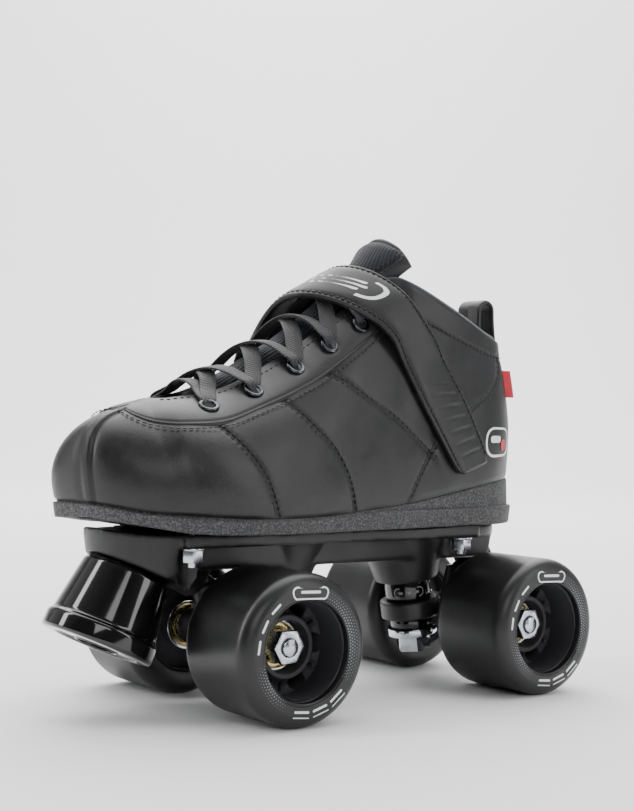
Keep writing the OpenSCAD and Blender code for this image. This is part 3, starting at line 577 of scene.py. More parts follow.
@dataclass(frozen=True)
class Leather(Finish):
    """Coated cowhide: pressed pebble grain under a satin top coat, duller in its seams, where painted shade
    also darkens the colour.
    """

    pebble_mm: float = 0.75  # pressed grain is 0.5 mm or finer; drawn this coarse so that it shows
    depth_mm: float = 0.05
    light: str = "#1a1a1c"

    def dress(self, canvas: Canvas) -> None:
        """Rounded pebbles from a cell pattern, broken up by finer noise and faint creases."""
        warp = canvas.grain(3.0, 2.0)
        place = canvas.add("ShaderNodeVectorMath", {0: canvas.place()}, operation="SCALE")
        place.inputs["Scale"].default_value = 1 / MM
        moved = canvas.add("ShaderNodeVectorMath", {0: place.outputs[0], 1: warp}, operation="ADD").outputs[0]
        cells = canvas.add(
            "ShaderNodeTexVoronoi",
            {"Vector": moved, "Scale": 1 / self.pebble_mm, "Smoothness": 0.6, "Randomness": 1.0},
            feature="SMOOTH_F1",
        ).outputs["Distance"]
        pores = canvas.grain(0.35, 2.0)
        crease = canvas.grain(7.0, 4.0, 0.6)
        height = canvas.sum_of((canvas.spread(cells, 0.0, 0.8, 1.0, 0.0), 0.55), (pores, 0.25), (crease, 0.8))
        canvas.relief(height, self.depth_mm)
        # The seam mask darkens the base colour towards near black: painted shade in the sewn grooves.
        seam = canvas.add("ShaderNodeAttribute", attribute_name="seam").outputs["Fac"]
        tone = canvas.blend(canvas.spread(crease, 0.35, 0.7), linear(self.colour), linear(self.light))
        canvas.feed("Base Color", canvas.blend(canvas.spread(seam, 0, 1, 0, 0.75), tone, linear("#0c0c0d")))
        gloss = canvas.sum_of((canvas.spread(crease, 0.3, 0.7, -0.05, 0.05), 1.0), (seam, 0.2))
        rough = canvas.add("ShaderNodeMath", {0: gloss, 1: self.roughness}, operation="ADD").outputs[0]
        canvas.feed("Roughness", rough)


@dataclass(frozen=True)
class Ribbed(Finish):
    """A ribbed woven cloth: cords along one way, bound by finer threads across them."""

    rib_mm: float = 1.2
    cross_mm: float = 0.8
    depth_mm: float = 0.3
    light: str = "#2a2e38"

    def dress(self, canvas: Canvas) -> None:
        """Cords as waves across the cloth, each cut into stitches by a wave that shifts every cord."""
        across, along = canvas.weave_axes()
        cord = canvas.waves(across, self.rib_mm)
        half = canvas.waves(across, self.rib_mm * 2)
        shift = canvas.spread(half, 0.4, 0.6, 0.0, np.pi)
        tie = canvas.waves(along, self.cross_mm, shift)
        fuzz = canvas.grain(0.5, 3.0)
        height = canvas.sum_of((cord, 0.65), (tie, 0.3), (fuzz, 0.2))
        canvas.relief(height, self.depth_mm)
        worn = canvas.grain(14.0, 2.0)
        tone = canvas.blend(canvas.spread(height, 0.25, 1.0), linear(self.colour), linear(self.light))
        canvas.feed("Base Color", canvas.blend(canvas.spread(worn, 0.3, 0.8, 0.0, 0.25), tone,
            linear(self.colour)))


@dataclass(frozen=True)
class Braid(Finish):
    """A flat woven lace or tape: a herringbone whose threads lean towards the middle."""

    pitch_mm: float = 1.35
    depth_mm: float = 0.28
    light: str = "#2b2b2e"

    def dress(self, canvas: Canvas) -> None:
        """Slanting threads that mirror at the middle of the band, with fine fibres on them."""
        across, along = canvas.weave_axes()
        lean = canvas.add("ShaderNodeMath", {0: across}, operation="ABSOLUTE").outputs[0]
        slant = canvas.add("ShaderNodeMath", {0: lean, 1: 0.8, 2: along}, operation="MULTIPLY_ADD").outputs[0]
        thread = canvas.waves(slant, self.pitch_mm)
        rows = canvas.waves(across, 1.1)
        fuzz = canvas.grain(0.4, 3.0)
        height = canvas.sum_of((thread, 0.6), (rows, 0.3), (fuzz, 0.25))
        canvas.relief(height, self.depth_mm)
        canvas.feed("Base Color", canvas.blend(canvas.spread(height, 0.3, 1.05), linear(self.colour),
            linear(self.light)))


@dataclass(frozen=True)
class Stippled(Finish):
    """Moulded rubber from a spark-eroded tool: coarse stipple with paler tips."""

    stipple_mm: float = 0.9
    depth_mm: float = 0.22
    light: str = "#59595a"

    def dress(self, canvas: Canvas) -> None:
        """Two sizes of lump, the tips lighter and a little smoother than the hollows."""
        lumps = canvas.grain(self.stipple_mm, 3.0, 0.6)
        fine = canvas.grain(self.stipple_mm * 0.4, 2.0)
        height = canvas.sum_of((lumps, 1.0), (fine, 0.35))
        canvas.relief(height, self.depth_mm)
        tips = canvas.spread(height, 0.62, 0.86)
        canvas.feed("Base Color", canvas.blend(tips, linear(self.colour), linear(self.light)))
        canvas.feed("Roughness", canvas.spread(height, 0.4, 0.95, self.roughness + 0.08,
            self.roughness - 0.08))


@dataclass(frozen=True)
class Moulded(Finish):
    """Injection-moulded nylon or cast urethane: satin, with a fine even texture and slow clouding."""

    texture_mm: float = 0.45
    depth_mm: float = 0.02
    cloud: str = "#202022"

    def dress(self, canvas: Canvas) -> None:
        """Fine texture in the bumps, slow clouds in colour and gloss."""
        fine = canvas.grain(self.texture_mm, 3.0)
        slow = canvas.grain(16.0, 3.0)
        canvas.relief(fine, self.depth_mm)
        canvas.feed("Base Color", canvas.blend(canvas.spread(slow, 0.35, 0.7), linear(self.colour),
            linear(self.cloud)))
        canvas.feed("Roughness", canvas.spread(slow, 0.3, 0.7, self.roughness * 0.9, self.roughness * 1.12))


@dataclass(frozen=True)
class Plated(Finish):
    """Plated or polished steel: drawn or turned marks, with a slow change of tint in the plating."""

    tint: str = "#a8adb5"
    mark_mm: float = 0.25
    depth_mm: float = 0.008

    def dress(self, canvas: Canvas) -> None:
        """Fine marks in the bumps and clouds of a second tint."""
        marks = canvas.grain(self.mark_mm, 2.0)
        slow = canvas.grain(3.5, 3.0)
        canvas.relief(marks, self.depth_mm)
        canvas.feed("Base Color", canvas.blend(canvas.spread(slow, 0.35, 0.7), linear(self.colour),
            linear(self.tint)))
        canvas.feed("Roughness", canvas.spread(slow, 0.3, 0.7, self.roughness * 0.8, self.roughness * 1.3))


@dataclass(frozen=True)
class Thread(Finish):
    """Bonded polyester sewing thread: a twist of three strands, slightly glossy."""

    def dress(self, canvas: Canvas) -> None:
        """Slanting strands drawn as a fine wave over the place."""
        twist = canvas.grain(0.3, 1.0)
        canvas.relief(twist, 0.05)
        canvas.feed("Roughness", canvas.spread(twist, 0.3, 0.7, self.roughness - 0.1, self.roughness + 0.1))


class Stock:
    """Every finish that the skate is made in."""

    LEATHER = Leather("satin_black_cowhide", "#111112", 0.4, ior=1.47, sheen=0.04)
    STRAP_LEATHER = Leather("strap_cowhide", "#101011", 0.42, ior=1.47, sheen=0.04, pebble_mm=0.65)
    PIPING = Leather("tongue_binding", "#161618", 0.5, pebble_mm=0.6, sheen=0.05)
    TONGUE = Ribbed("ribbed_tongue_cloth", "#0e1014", 0.75, sheen=0.12, rib_mm=1.25, cross_mm=1.0,
        depth_mm=0.35)
    LINING = Ribbed("collar_knit", "#0b1219", 0.85, sheen=0.35, rib_mm=0.9, cross_mm=0.8, depth_mm=0.2,
        light="#1b2a38")
    FOOTBED = Ribbed("footbed_cloth", "#141619", 0.88, sheen=0.2, rib_mm=0.8, cross_mm=0.8, depth_mm=0.15)
    LACE = Braid("flat_woven_lace", "#121214", 0.6, sheen=0.15)
    WEBBING = Braid("loop_webbing", "#121213", 0.38, sheen=0.1, pitch_mm=1.0, depth_mm=0.16)
    THREAD = Thread("black_thread", "#101012", 0.42)
    SOLE = Stippled("stippled_rubber", "#262628", 0.62)
    PLATE = Moulded("glass_filled_nylon", "#0c0c0d", 0.42, cloud="#121213", depth_mm=0.03)
    HUB = Moulded("hub_nylon", "#0f0f10", 0.32, cloud="#161618", depth_mm=0.02)
    TYRE = Moulded("cast_urethane", "#121213", 0.36, cloud="#19191b", texture_mm=0.6, depth_mm=0.03)
    TRUCK = Moulded("powder_coated_aluminium", "#131314", 0.38, cloud="#1b1b1d", texture_mm=0.7,
        depth_mm=0.04)
    STOPPER = Moulded("polished_urethane", "#070708", 0.09, coat=0.4, coat_roughness=0.04, cloud="#0c0c0d",
        depth_mm=0.004)
    CUSHION = Moulded("glossy_cushion_urethane", "#050506", 0.12, coat=0.3, cloud="#0b0b0c", depth_mm=0.004)
    CUP = Moulded("acetal_cup", "#242427", 0.45, cloud="#2c2c30")
    ZINC = Plated("bright_zinc", "#c9ccd1", 0.24, metallic=1.0)
    CHROME = Plated("chrome_plate", "#d6d9dd", 0.1, metallic=1.0, tint="#b4bac4")
    EYELET = Plated("black_nickel", "#57595e", 0.2, metallic=1.0, tint="#2c2d30")
    GOLD = Plated("gold_zinc_shield", "#c7b070", 0.26, metallic=1.0, tint="#d8cb98")
    RACE = Plated("bearing_steel", "#b9bbbe", 0.2, metallic=1.0, tint="#cfd1d4")
    BRASS = Plated("brass_insert", "#b08c3c", 0.3, metallic=1.0, tint="#c8a552")
    WHITE_INK = Finish("white_pad_print", "#e9eaeb", 0.45)
    GREY_INK = Finish("grey_pad_print", "#6f7276", 0.45)
    RED_CLOTH = Ribbed("red_label_cloth", "#b3202b", 0.6, sheen=0.2, rib_mm=0.6, cross_mm=0.6, depth_mm=0.1,
        light="#d2333e")
    HOLE_SHADOW = Finish("hole_shadow", "#020202", 0.9)
    BOARD = Moulded("fibre_board", "#7a6a50", 0.85, cloud="#8a795c", texture_mm=0.8, depth_mm=0.08)


# ---------------------------------------------------------------- sewing and print


def stitch_row(path: Array, normal: Array, pitch: float = 2.8, gap: float = 0.7,
    thick: float = 0.62) -> tuple[Array, Array]:
    """Lays a row of sewn stitches along a path on a surface.

    Each stitch is a bead of thread: a six-sided tube whose radius swells as a half circle towards its
    middle and whose two ends dive below the surface.

    Args:
        path: points of the row.
        normal: the surface's normal at each point.
        pitch: distance from one stitch to the next.
        gap: the part of a pitch without thread.
        thick: the thread's diameter.

    Returns:
        The points and the quads.
    """
    total = lengths(path)[-1]
    count = max(int(total / pitch), 1)
    step = total / count
    k = np.linspace(0, 1, 6)
    at = (np.arange(count)[:, None] + 0.5) * step + (k - 0.5)[None, :] * (step - gap)
    both = respace(np.concatenate([path, normal], 1), at.ravel()).reshape(count, len(k), 6)
    spot, up = both[..., :3], unit(both[..., 3:])
    along = unit(np.gradient(spot, axis=1))
    across = unit(np.cross(along, up))
    swell = np.sqrt(np.clip(1 - (2 * k - 1) ** 4, 0.02, 1)) * thick / 2
    sink = (0.25 - 0.75 * (2 * k - 1) ** 4) * thick * 0.55
    angle = np.linspace(0, 2 * np.pi, 6, endpoint=False)
    ring = (
        np.cos(angle)[None, None, :, None] * across[:, :, None] * swell[None, :, None, None] * 1.15
        + np.sin(angle)[None, None, :, None] * up[:, :, None] * swell[None, :, None, None]
    )
    points = (spot + up * sink[None, :, None])[:, :, None] + ring
    faces = grid_faces(len(k), 6, wrap_cols=True)
    ends = np.array([[0, 1, 2, 3], [0, 3, 4, 5]])
    last = ends[:, ::-1] + (len(k) - 1) * 6
    one = np.concatenate([faces, ends, last])
    every = one[None] + (np.arange(count) * len(k) * 6)[:, None, None]
    return points.reshape(-1, 3), every.reshape(-1, 4)


def gather(parts: Sequence[tuple[Array, Array]]) -> tuple[Array, Array]:
    """Joins several sets of points and quads into one."""
    shift, points, faces = 0, [], []
    for p, f in parts:
        points.append(p.reshape(-1, 3))
        faces.append(f + shift)
        shift += len(points[-1])
    return np.concatenate(points), np.concatenate(faces)


def beside(path: Array, normal: Array, offset: float) -> Array:
    """Moves a path sideways over its surface, to the left of its direction where offset is positive."""
    return path + np.cross(normal, unit(np.gradient(path, axis=0))) * offset


def box_outline(cx: float, cy: float, w: float, h: float, r: float, steps: int = 6) -> Array:
    """Gives the outline of a flat rounded box."""
    x, y = w / 2, h / 2
    corners = [[cx - x, cy - y, r * 1.6], [cx + x, cy - y, r * 1.6], [cx + x, cy + y, r * 1.6],
        [cx - x, cy + y, r * 1.6]]
    return rounded(corners, steps)


def filled(outline: Array, hole: Array | None = None, rings: int = 4) -> tuple[Array, Array]:
    """Fills an outline with rings of quads that shrink to its middle or to a hole's outline.

    Args:
        outline: the outer outline's points.
        hole: an outline of as many points, or None to fill to the middle.
        rings: how many rings.

    Returns:
        Flat points, as rows of two, and quads.
    """
    inner = np.broadcast_to(outline.mean(0), outline.shape) * 1.0 if hole is None else hole
    if hole is None:
        inner = inner + (outline - inner) * 0.02
    k = np.linspace(0, 1, rings + 1)[:, None, None]
    grid = mix(outline[None], inner[None], k)
    return grid.reshape(-1, 2), grid_faces(rings + 1, len(outline), wrap_cols=True)


def printed(shapes: Sequence[tuple[Array, Array]], onto: Callable[[Array], Array]) -> tuple[Array, Array]:
    """Carries flat printed shapes onto a surface.

    Args:
        shapes: flat points and quads of each shape.
        onto: gives the surface point of each flat point.

    Returns:
        The points and the quads.
    """
    return gather([(onto(p), f) for p, f in shapes])


# ---------------------------------------------------------------- the boot's last


@dataclass
class Last:
    """The boot's outside as a surface: t runs from heel to toe, v from sole to top edge."""

    outer: Array = field(default_factory=lambda: np.array([
        [0, -94, 0, 21.5], [0.05, -91, 12.5, 21.5], [0.11, -82.5, 21.5, 21], [0.18, -68, 28, 19.5],
        [0.28, -42, 31, 15.5], [0.38, -15, 34, 11.5], [0.5, 15, 37, 8.5], [0.62, 47, 41.5, 6.5],
        [0.74, 80, 42.5, 6.5], [0.84, 105, 38, 8], [0.91, 122, 29, 9.5], [0.96, 132, 19.5, 11.5],
        [1, 137, 10, 12.5]]))
    inner: Array = field(default_factory=lambda: np.array([
        [0, -94, 0, 21.5], [0.05, -91, -13, 21.5], [0.11, -83, -22, 21], [0.18, -68, -27.5, 19.5],
        [0.28, -42, -30, 15.5], [0.38, -15, -29, 11.5], [0.5, 15, -29, 8.5], [0.62, 47, -33, 6.5],
        [0.74, 80, -39, 6.5], [0.84, 108, -38.5, 8], [0.91, 128, -29, 10.5], [0.96, 140, -12, 12.5],
        [1, 137, 10, 12.5]]))
    top: Array = field(default_factory=lambda: np.array([
        [0, -88.5, 0, 87], [0.05, -86.5, 9, 87], [0.11, -81, 17, 87.5], [0.18, -70, 22, 89.5],
        [0.28, -46, 25, 99], [0.37, -22, 22, 109.5], [0.43, -9, 16, 112], [0.5, 8, 13, 100.5],
        [0.62, 41, 13, 78], [0.74, 76, 12.5, 59.5], [0.84, 100, 7, 54], [0.87, 106, 0.15, 53.5],
        [0.91, 112, 0.1, 52], [0.96, 117, 0.1, 50], [1, 121, 0.1, 48.5]]))
    shape: Array = field(default_factory=lambda: np.array([
        [0, 180, 3, 30, 3, 25], [0.05, 152, 3, 30, 3, 25], [0.11, 128, 3, 30, 4, 25],
        [0.18, 105, 4, 32, 3, 25], [0.28, 95, 3, 36, 1, 28], [0.38, 93, 3, 38, 4, 28],
        [0.5, 88, 4, 34, 13, 14], [0.62, 84, 5, 28, 16, 12], [0.74, 78, 7, 22, 20, 7],
        [0.84, 66, 7, 20, 26, 3], [0.91, 50, 6, 18, 24, 2], [0.96, 28, 6, 18, 22, 2], [1, 10, 5, 18, 20, 1]]))
    inner_heading: Array = field(default_factory=lambda: np.array([
        [0, -180], [0.05, -152], [0.11, -128], [0.18, -105], [0.28, -95], [0.38, -93], [0.5, -88],
        [0.62, -84], [0.74, -78], [0.84, -66], [0.91, -45], [0.96, -18], [1, 10]]))
    seam: Array = field(default_factory=lambda: np.array(
        [[0, 0], [0.84, 0], [0.91, 1.5], [0.96, 3.5], [1, 5]]))
    spring: Array = field(default_factory=lambda: np.array(
        [[0, 0], [0.72, 0], [0.84, 1], [0.92, 4], [1, 6.5]]))
    crest: Array = field(default_factory=lambda: np.array([
        [0, 0], [0.36, 0], [0.43, 6], [0.5, 7], [0.62, 6.5], [0.74, 5], [0.84, 2], [0.87, 0], [1, 0]]))

    def heading(self, t: Array, side: Side) -> Array:
        """Gives the level direction that the wall faces at each t."""
        table = curve(self.shape, t)[:, 1] if side is Side.OUTER else curve(self.inner_heading, t)[:, 1]
        turn = np.radians(table)
        return np.stack([np.cos(turn), np.sin(turn), 0 * turn], 1)

    def feather(self, t: Array, side: Side) -> Array:
        """Gives the line where the boot meets the sole."""
        return curve(self.outer if side is Side.OUTER else self.inner, t)[:, 1:4]

    def section(self, t: Array, side: Side) -> tuple[Array, ...]:
        """Gives the four control points of the wall's cubic curve at each t, and its heading."""
        foot, d, s, edge = self.feather(t, side), self.heading(t, side), curve(self.shape,
            t), curve(self.top, t)
        half = np.maximum(edge[:, 2], np.where(np.atleast_1d(t) > 0.8, 0.1, 0.0))
        rim = np.stack([edge[:, 1], curve(self.seam, t)[:, 1] + side.value * half, edge[:, 3]], 1)
        low = foot + d * s[:, 2:3] + UP * s[:, 3:4]
        high = rim + d * s[:, 4:5] - UP * s[:, 5:6]
        return foot, low, high, rim, d

    def skin(self, t: Array, side: Side, v: Array, off: Array | float = 0.0) -> Array:
        """Gives points of the outside, moved out along the normal by off.

        Args:
            t: positions from heel to toe.
            side: which half.
            v: heights from 0 at the sole to 1 at the top edge.
            off: distance outwards.

        Returns:
            One point for each position.
        """
        t, v, off = np.broadcast_arrays(np.asarray(t, float), np.asarray(v, float), np.asarray(off, float))
        shape = t.shape
        p0, p1, p2, p3, _ = self.section(t.ravel(), side)
        w = v.ravel()[:, None]
        p = (1 - w) ** 3 * p0 + 3 * (1 - w) ** 2 * w * p1 + 3 * (1 - w) * w * w * p2 + w**3 * p3
        out = p + UP * DECK + self.normal(t, side, v).reshape(-1, 3) * off.ravel()[:, None]
        return out.reshape(*shape, 3)

    def normal(self, t: Array, side: Side, v: Array) -> Array:
        """Gives the outward direction, square to the section's slope within the plane of its heading."""
        t, v = np.broadcast_arrays(np.asarray(t, float), np.asarray(v, float))
        p0, p1, p2, p3, d = self.section(t.ravel(), side)
        w = v.ravel()[:, None]
        slope = (p1 - p0) * (1 - w) ** 2 + 2 * (p2 - p1) * (1 - w) * w + (p3 - p2) * w * w
        run = (slope * d).sum(1)
        size = np.maximum(np.hypot(run, slope[:, 2]), 1e-9)
        out = d * (slope[:, 2] / size)[:, None] - UP * (run / size)[:, None]
        return out.reshape(*t.shape, 3)

    def crown(self, t: Array, q: Array, off: Array | float = 0.0) -> Array:
        """Gives points of the crest over the gap between the eyestays, q from -1 (outer) to 1."""
        t, q = np.broadcast_arrays(np.asarray(t, float), np.asarray(q, float))

        def at(k: Array) -> Array:
            a, b = self.section(t.ravel(), Side.OUTER)[3], self.section(t.ravel(), Side.INNER)[3]
            rise = curve(self.crest, t.ravel())[:, 1] * (1 - k.ravel() ** 2)
            return mix(a, b, (k.ravel()[:, None] + 1) / 2) + UP * (rise + DECK)[:, None]

        g = at(q + 0.01) - at(q - 0.01)
        n = unit(np.stack([0 * g[:, 0], g[:, 2], -g[:, 1]], 1))
        return (at(q) + n * np.broadcast_to(off, t.shape).ravel()[:, None]).reshape(*t.shape, 3)


@dataclass
class Seam:
    """A line of sewing on the boot: its control points, its rows and how deep it pulls the leather."""

    side: Side
    points: list[tuple[float, float]]  # t and v
    rows: tuple[float, ...] = (-1.05, 1.05)
    depth: float = 0.55
    width: float = 1.5

    def path(self, last: Last, steps: int = 160) -> tuple[Array, Array]:
        """Gives the seam's points and normals, on a smooth curve through its control points."""
        table = np.array([[k, t, v] for k, (t, v) in enumerate(self.points)])
        run = curve(table, np.linspace(0, len(table) - 1, steps))
        t, v = run[:, 1], run[:, 2]
        return last.skin(t, self.side, v), last.normal(t, self.side, v)


def both_sides(points: list[tuple[float, float]], **sewing: object) -> list[Seam]:
    """Gives the same seam on the outer and the inner side."""
    return [Seam(side, points, **sewing) for side in Side]


@dataclass
class Boot:
    """The boot: a low leather upper with a lace-up throat, sewn panels and a padded collar."""

    last: Last = field(default_factory=Last)
    leather_t: float = 2.2
    stay_t: float = 1.2
    columns: int = 400
    rows: int = 130
    eyelet_t: tuple[float, ...] = (0.785, 0.705, 0.63, 0.565, 0.5, 0.435)
    eyelet_v: tuple[float, ...] = (0.8, 0.83, 0.84, 0.83, 0.82, 0.8)
    stay_low: Array = field(default_factory=lambda: np.array([
        [0.4, 0.79], [0.5, 0.7], [0.58, 0.68], [0.65, 0.675], [0.71, 0.67], [0.78, 0.63], [0.83, 0.62],
        [0.87, 0.64], [0.9, 0.71], [0.93, 0.82], [0.96, 0.97]]))
    seams: list[Seam] = field(default_factory=lambda: (
        both_sides([(0.78, 0.63), (0.748, 0.447), (0.722, 0.263), (0.694, 0.0)])
        + both_sides([(0.664, 0.67), (0.622, 0.457), (0.582, 0.297), (0.55, 0.14), (0.532, 0.0)])
        + both_sides([(0.578, 0.68), (0.502, 0.457), (0.406, 0.297), (0.33, 0.16)])
        + both_sides([(0.335, 0.23), (0.374, 0.1), (0.4, 0.0)])
        + both_sides([(0.4, 0.845), (0.366, 0.845), (0.322, 0.85), (0.264, 0.857), (0.212, 0.867),
                      (0.142, 0.89), (0.06, 0.89), (0.004, 0.89)], rows=(0.0,), depth=0.4, width=1.2)
        + both_sides([(0.27, 0.34), (0.238, 0.447), (0.194, 0.57), (0.15, 0.763), (0.14, 0.88)])))

    def toe_seam(self, gap: float, side: Side, steps: int = 220) -> tuple[Array, Array]:
        """Gives a line that runs beside the toe seam, down from the throat to the sole.

        Over the vamp it is the height v whose distance from the top edge is the gap. Down the front
        it is the place t whose distance from the end of the boot is the gap.

        Args:
            gap: distance from the seam.
            side: which half the line lies on.
            steps: points along it.

        Returns:
            The points and the surface's normals.
        """
        t = np.linspace(0.875, 0.992, steps // 2)
        v = np.linspace(0.4, 1, 121)
        wall = self.last.skin(t[:, None], side, v[None, :])
        away = np.linalg.norm(wall - wall[:, -1:], axis=2)
        high = np.array([np.interp(-gap, -a, v) for a in away])
        w = np.linspace(0.97, 0.02, steps // 2)
        s = np.linspace(0.9, 1, 121)
        front = self.last.skin(s[None, :], side, w[:, None])
        off = np.linalg.norm(front - front[:, -1:], axis=2)
        far = np.array([np.interp(-gap, -a, s) for a in off])
        ts = np.concatenate([t, far])
        vs = np.concatenate([high, w])
        keep = np.concatenate([t < far[0], np.full(len(w), True)]) if gap > 0 else np.full(len(ts), True)
        path = soften(self.last.skin(ts[keep], side, vs[keep]), 6)
        return path, self.last.normal(ts[keep], side, vs[keep])

    def relief(self, points: Array, side: Side) -> tuple[Array, Array]:
        """Works out how far sewing and handling move the leather.

        Every seam pulls a groove, a bell curve of the distance to it, puckered in step with its
        stitches, and the panels between seams swell a little. The outer half laps over the toe seam.

        Args:
            points: points of the outside.
            side: which half they are on.

        Returns:
            The move outwards, and how deep in a seam each point is, from 0 to 1, which the leather takes as
            painted shade.
        """
        flat = points.reshape(-1, 3)
        move, seam_shade = np.zeros(len(flat)), np.zeros(len(flat))
        near = np.full(len(flat), 60.0)
        for seam in (s for s in self.seams if s.side is side):
            path = seam.path(self.last, 120)[0]
            low, high = path.min(0) - 14, path.max(0) + 14
            close = np.flatnonzero(((flat > low) & (flat < high)).all(1))
            gap = np.linalg.norm(flat[close, None] - path[None], axis=2)
            best = gap.argmin(1)
            d, along = gap[np.arange(len(close)), best], lengths(path)[best]
            bell = np.exp(-((d / seam.width) ** 2))
            move[close] -= seam.depth * bell + 0.07 * np.cos(along * 2 * np.pi / 2.8) * np.exp(
                -((d / 2.4) ** 2))
            seam_shade[close] = np.maximum(seam_shade[close], bell)
            near[close] = np.minimum(near[close], d)
        fold = self.toe_seam(0.0, side)[0][::3]
        front = np.flatnonzero(flat[:, 0] > 92)
        d = np.linalg.norm(flat[front, None] - fold[None], axis=2).min(1)
        if side is Side.OUTER:
            move[front] += 0.9 * (1 - smooth(2.2, 3.4, d)) - 0.25 * np.exp(-(((d - 3.6) / 0.8) ** 2))
        else:
            move[front] -= 0.45 * np.exp(-(((d - 4.4) / 1.6) ** 2))
            # Painted shade in the groove beside the inner side's toe seam.
            seam_shade[front] = np.maximum(seam_shade[front], 0.7 * np.exp(-(((d - 4.4) / 1.6) ** 2)))
        move += 0.45 * (1 - np.exp(-((near / 8) ** 2)))
        x, y, z = flat.T
        move += 0.12 * np.sin(x / 9 + z / 13) * np.sin(z / 7 - y / 11 + 1.3) + 0.06 * np.sin(
            x / 3.7 + z / 5.1)
        return move.reshape(points.shape[:-1]), seam_shade.reshape(points.shape[:-1])

    def upper_half(self, side: Side) -> None:
        """Builds one half of the upper: the outside with its relief, and the inside a wall away."""
        t = np.linspace(0.0, 1.0, self.columns)[:, None]
        v = np.linspace(0.0, 1.0, self.rows)[None, :]
        skin = self.last.skin(t, side, v)
        normal = self.last.normal(t + 0 * v, side, v + 0 * t)
        move, seam = self.relief(skin, side)
        move = move * smooth(0, 0.03, v) * np.clip((1.0 - v) / 0.012, 0.25, 1)
        outside = skin + normal * move[..., None]
        points, faces = shut_shell(outside, skin - normal * self.leather_t)
        # The seam depth darkens this leather as painted shade in its grooves; the inside face gets none.
        shade = np.concatenate([seam.ravel(), np.zeros(seam.size)])
        name = f"upper_{side.name.lower()}"
        piece = make_piece(f"{name}_leather", points, faces, Stock.LEATHER, shades={"seam": shade}, edge=70)
        place_piece(piece, Body.BOOT, "boot_leather", [name])

    def sewing(self) -> None:
        """Sews every seam of the boot, with one thread piece for each side."""
        for side in Side:
            rows = []
            for seam in (s for s in self.seams if s.side is side):
                path, normal = seam.path(self.last)
                path = path - normal * seam.depth * 0.55
                rows += [stitch_row(beside(path, normal, gap), normal) for gap in seam.rows]
            low = self.stay_line(side, 1.9, self.stay_t * 0.95)
            rows.append(stitch_row(*low))
            rows.append(stitch_row(*self.stay_edge(side)))
            if side is Side.INNER:
                for gap in (3.7, 5.1):
                    path, normal = self.toe_seam(gap, side)
                    rows.append(stitch_row(path - normal * 0.3, normal, pitch=2.5))
            points, faces = gather(rows)
            piece = make_piece(f"boot_thread_{side.name.lower()}", points, faces, Stock.THREAD, edge=80)
            place_piece(piece, Body.BOOT, "boot_leather")

    def stay_line(self, side: Side, inset: float, off: float) -> tuple[Array, Array]:
        """Gives a line that runs a small way inside the eyestay's lower edge."""
        t = np.linspace(0.405, 0.95, 240)
        edge = curve(self.stay_low, t)[:, 1]
        path, normal = self.last.skin(t, side, edge, off), self.last.normal(t, side, edge)
        inner = beside(path, normal, inset * side.value)
        return inner, normal

    def stay_edge(self, side: Side) -> tuple[Array, Array]:
        """Gives the line of sewing just inside the throat's edge."""
        t = np.linspace(0.44, 0.855, 160)
        v = 1 - 2.6 / 40 + 0 * t
        return self.last.skin(t, side, v, self.stay_t + 0.15), self.last.normal(t, side, v)

    def eyestay(self, side: Side) -> tuple[Array, Array, Array]:
        """Works out an eyestay: a leather panel whose thickness rises as an S from its lower edge.

        Args:
            side: which side of the throat it lies on.

        Returns:
            The points, the quads, and how deep in its sewn groove each point is, which the leather darkens as
            painted shade.
        """
        t = np.linspace(0.4, 0.955, 420)[:, None]
        k = np.linspace(0, 1, 70)[None, :]
        low = curve(self.stay_low, t.ravel())[:, 1][:, None]
        v = mix(low, 1.0, k)
        wall = self.last.skin(t, side, v)
        rise = lengths_along_rows(wall)
        lift = 0.15 + self.stay_t * smooth(0.0, 1.0,
            rise) + 0.25 * (1 - np.exp(-((rise - 1.9) / 3.0) ** 2)) - 0.2
        lift = lift - 0.28 * np.exp(-(((rise - 1.9) / 0.8) ** 2))
        lift = lift * np.clip((1 - k) / 0.012, 0.2, 1) ** 0.5 - 0.05
        ends = smooth(0.4, 0.404, t) * (1 - smooth(0.93, 0.955, t))
        lift = lift * (0.1 + 0.9 * ends)
        for et, ev in zip(self.eyelet_t, self.eyelet_v):
            spot = self.last.skin(np.array([et]), side, np.array([ev]))[0]
            lift = lift - 0.35 * np.exp(-((np.linalg.norm(wall - spot, axis=2) / 4.6) ** 4))
        normal = self.last.normal(t + 0 * v, side, v)
        # Mask of the sewn groove, used only as painted shade in the leather's colour.
        groove = np.exp(-(((rise - 1.9) / 1.1) ** 2))
        points, faces = shut_shell(wall + normal * lift[..., None], wall - normal * 0.6)
        return points, faces, np.concatenate([groove.ravel(), np.zeros(groove.size)])

    def eyestays(self) -> None:
        """Builds both eyestays as one piece."""
        outer, inner = self.eyestay(Side.OUTER), self.eyestay(Side.INNER)
        points, faces = gather([outer[:2], inner[:2]])
        shades = {"seam": np.concatenate([outer[2], inner[2]])}
        piece = make_piece("eyestays_leather", points, faces, Stock.LEATHER, shades=shades, edge=60)
        place_piece(piece, Body.BOOT, "boot_leather", ["eyestays"])

    def eyelets(self) -> None:
        """Builds each eyelet as a rolled rim, turned from a small round outline, with a near-black disc in
        its hole as painted shadow.
        """
        angle = np.linspace(0, 2 * np.pi, 14, endpoint=False)
        roll = np.stack([3.55 + 0.85 * np.cos(angle), 0.45 + 0.6 * np.sin(angle)], 1)
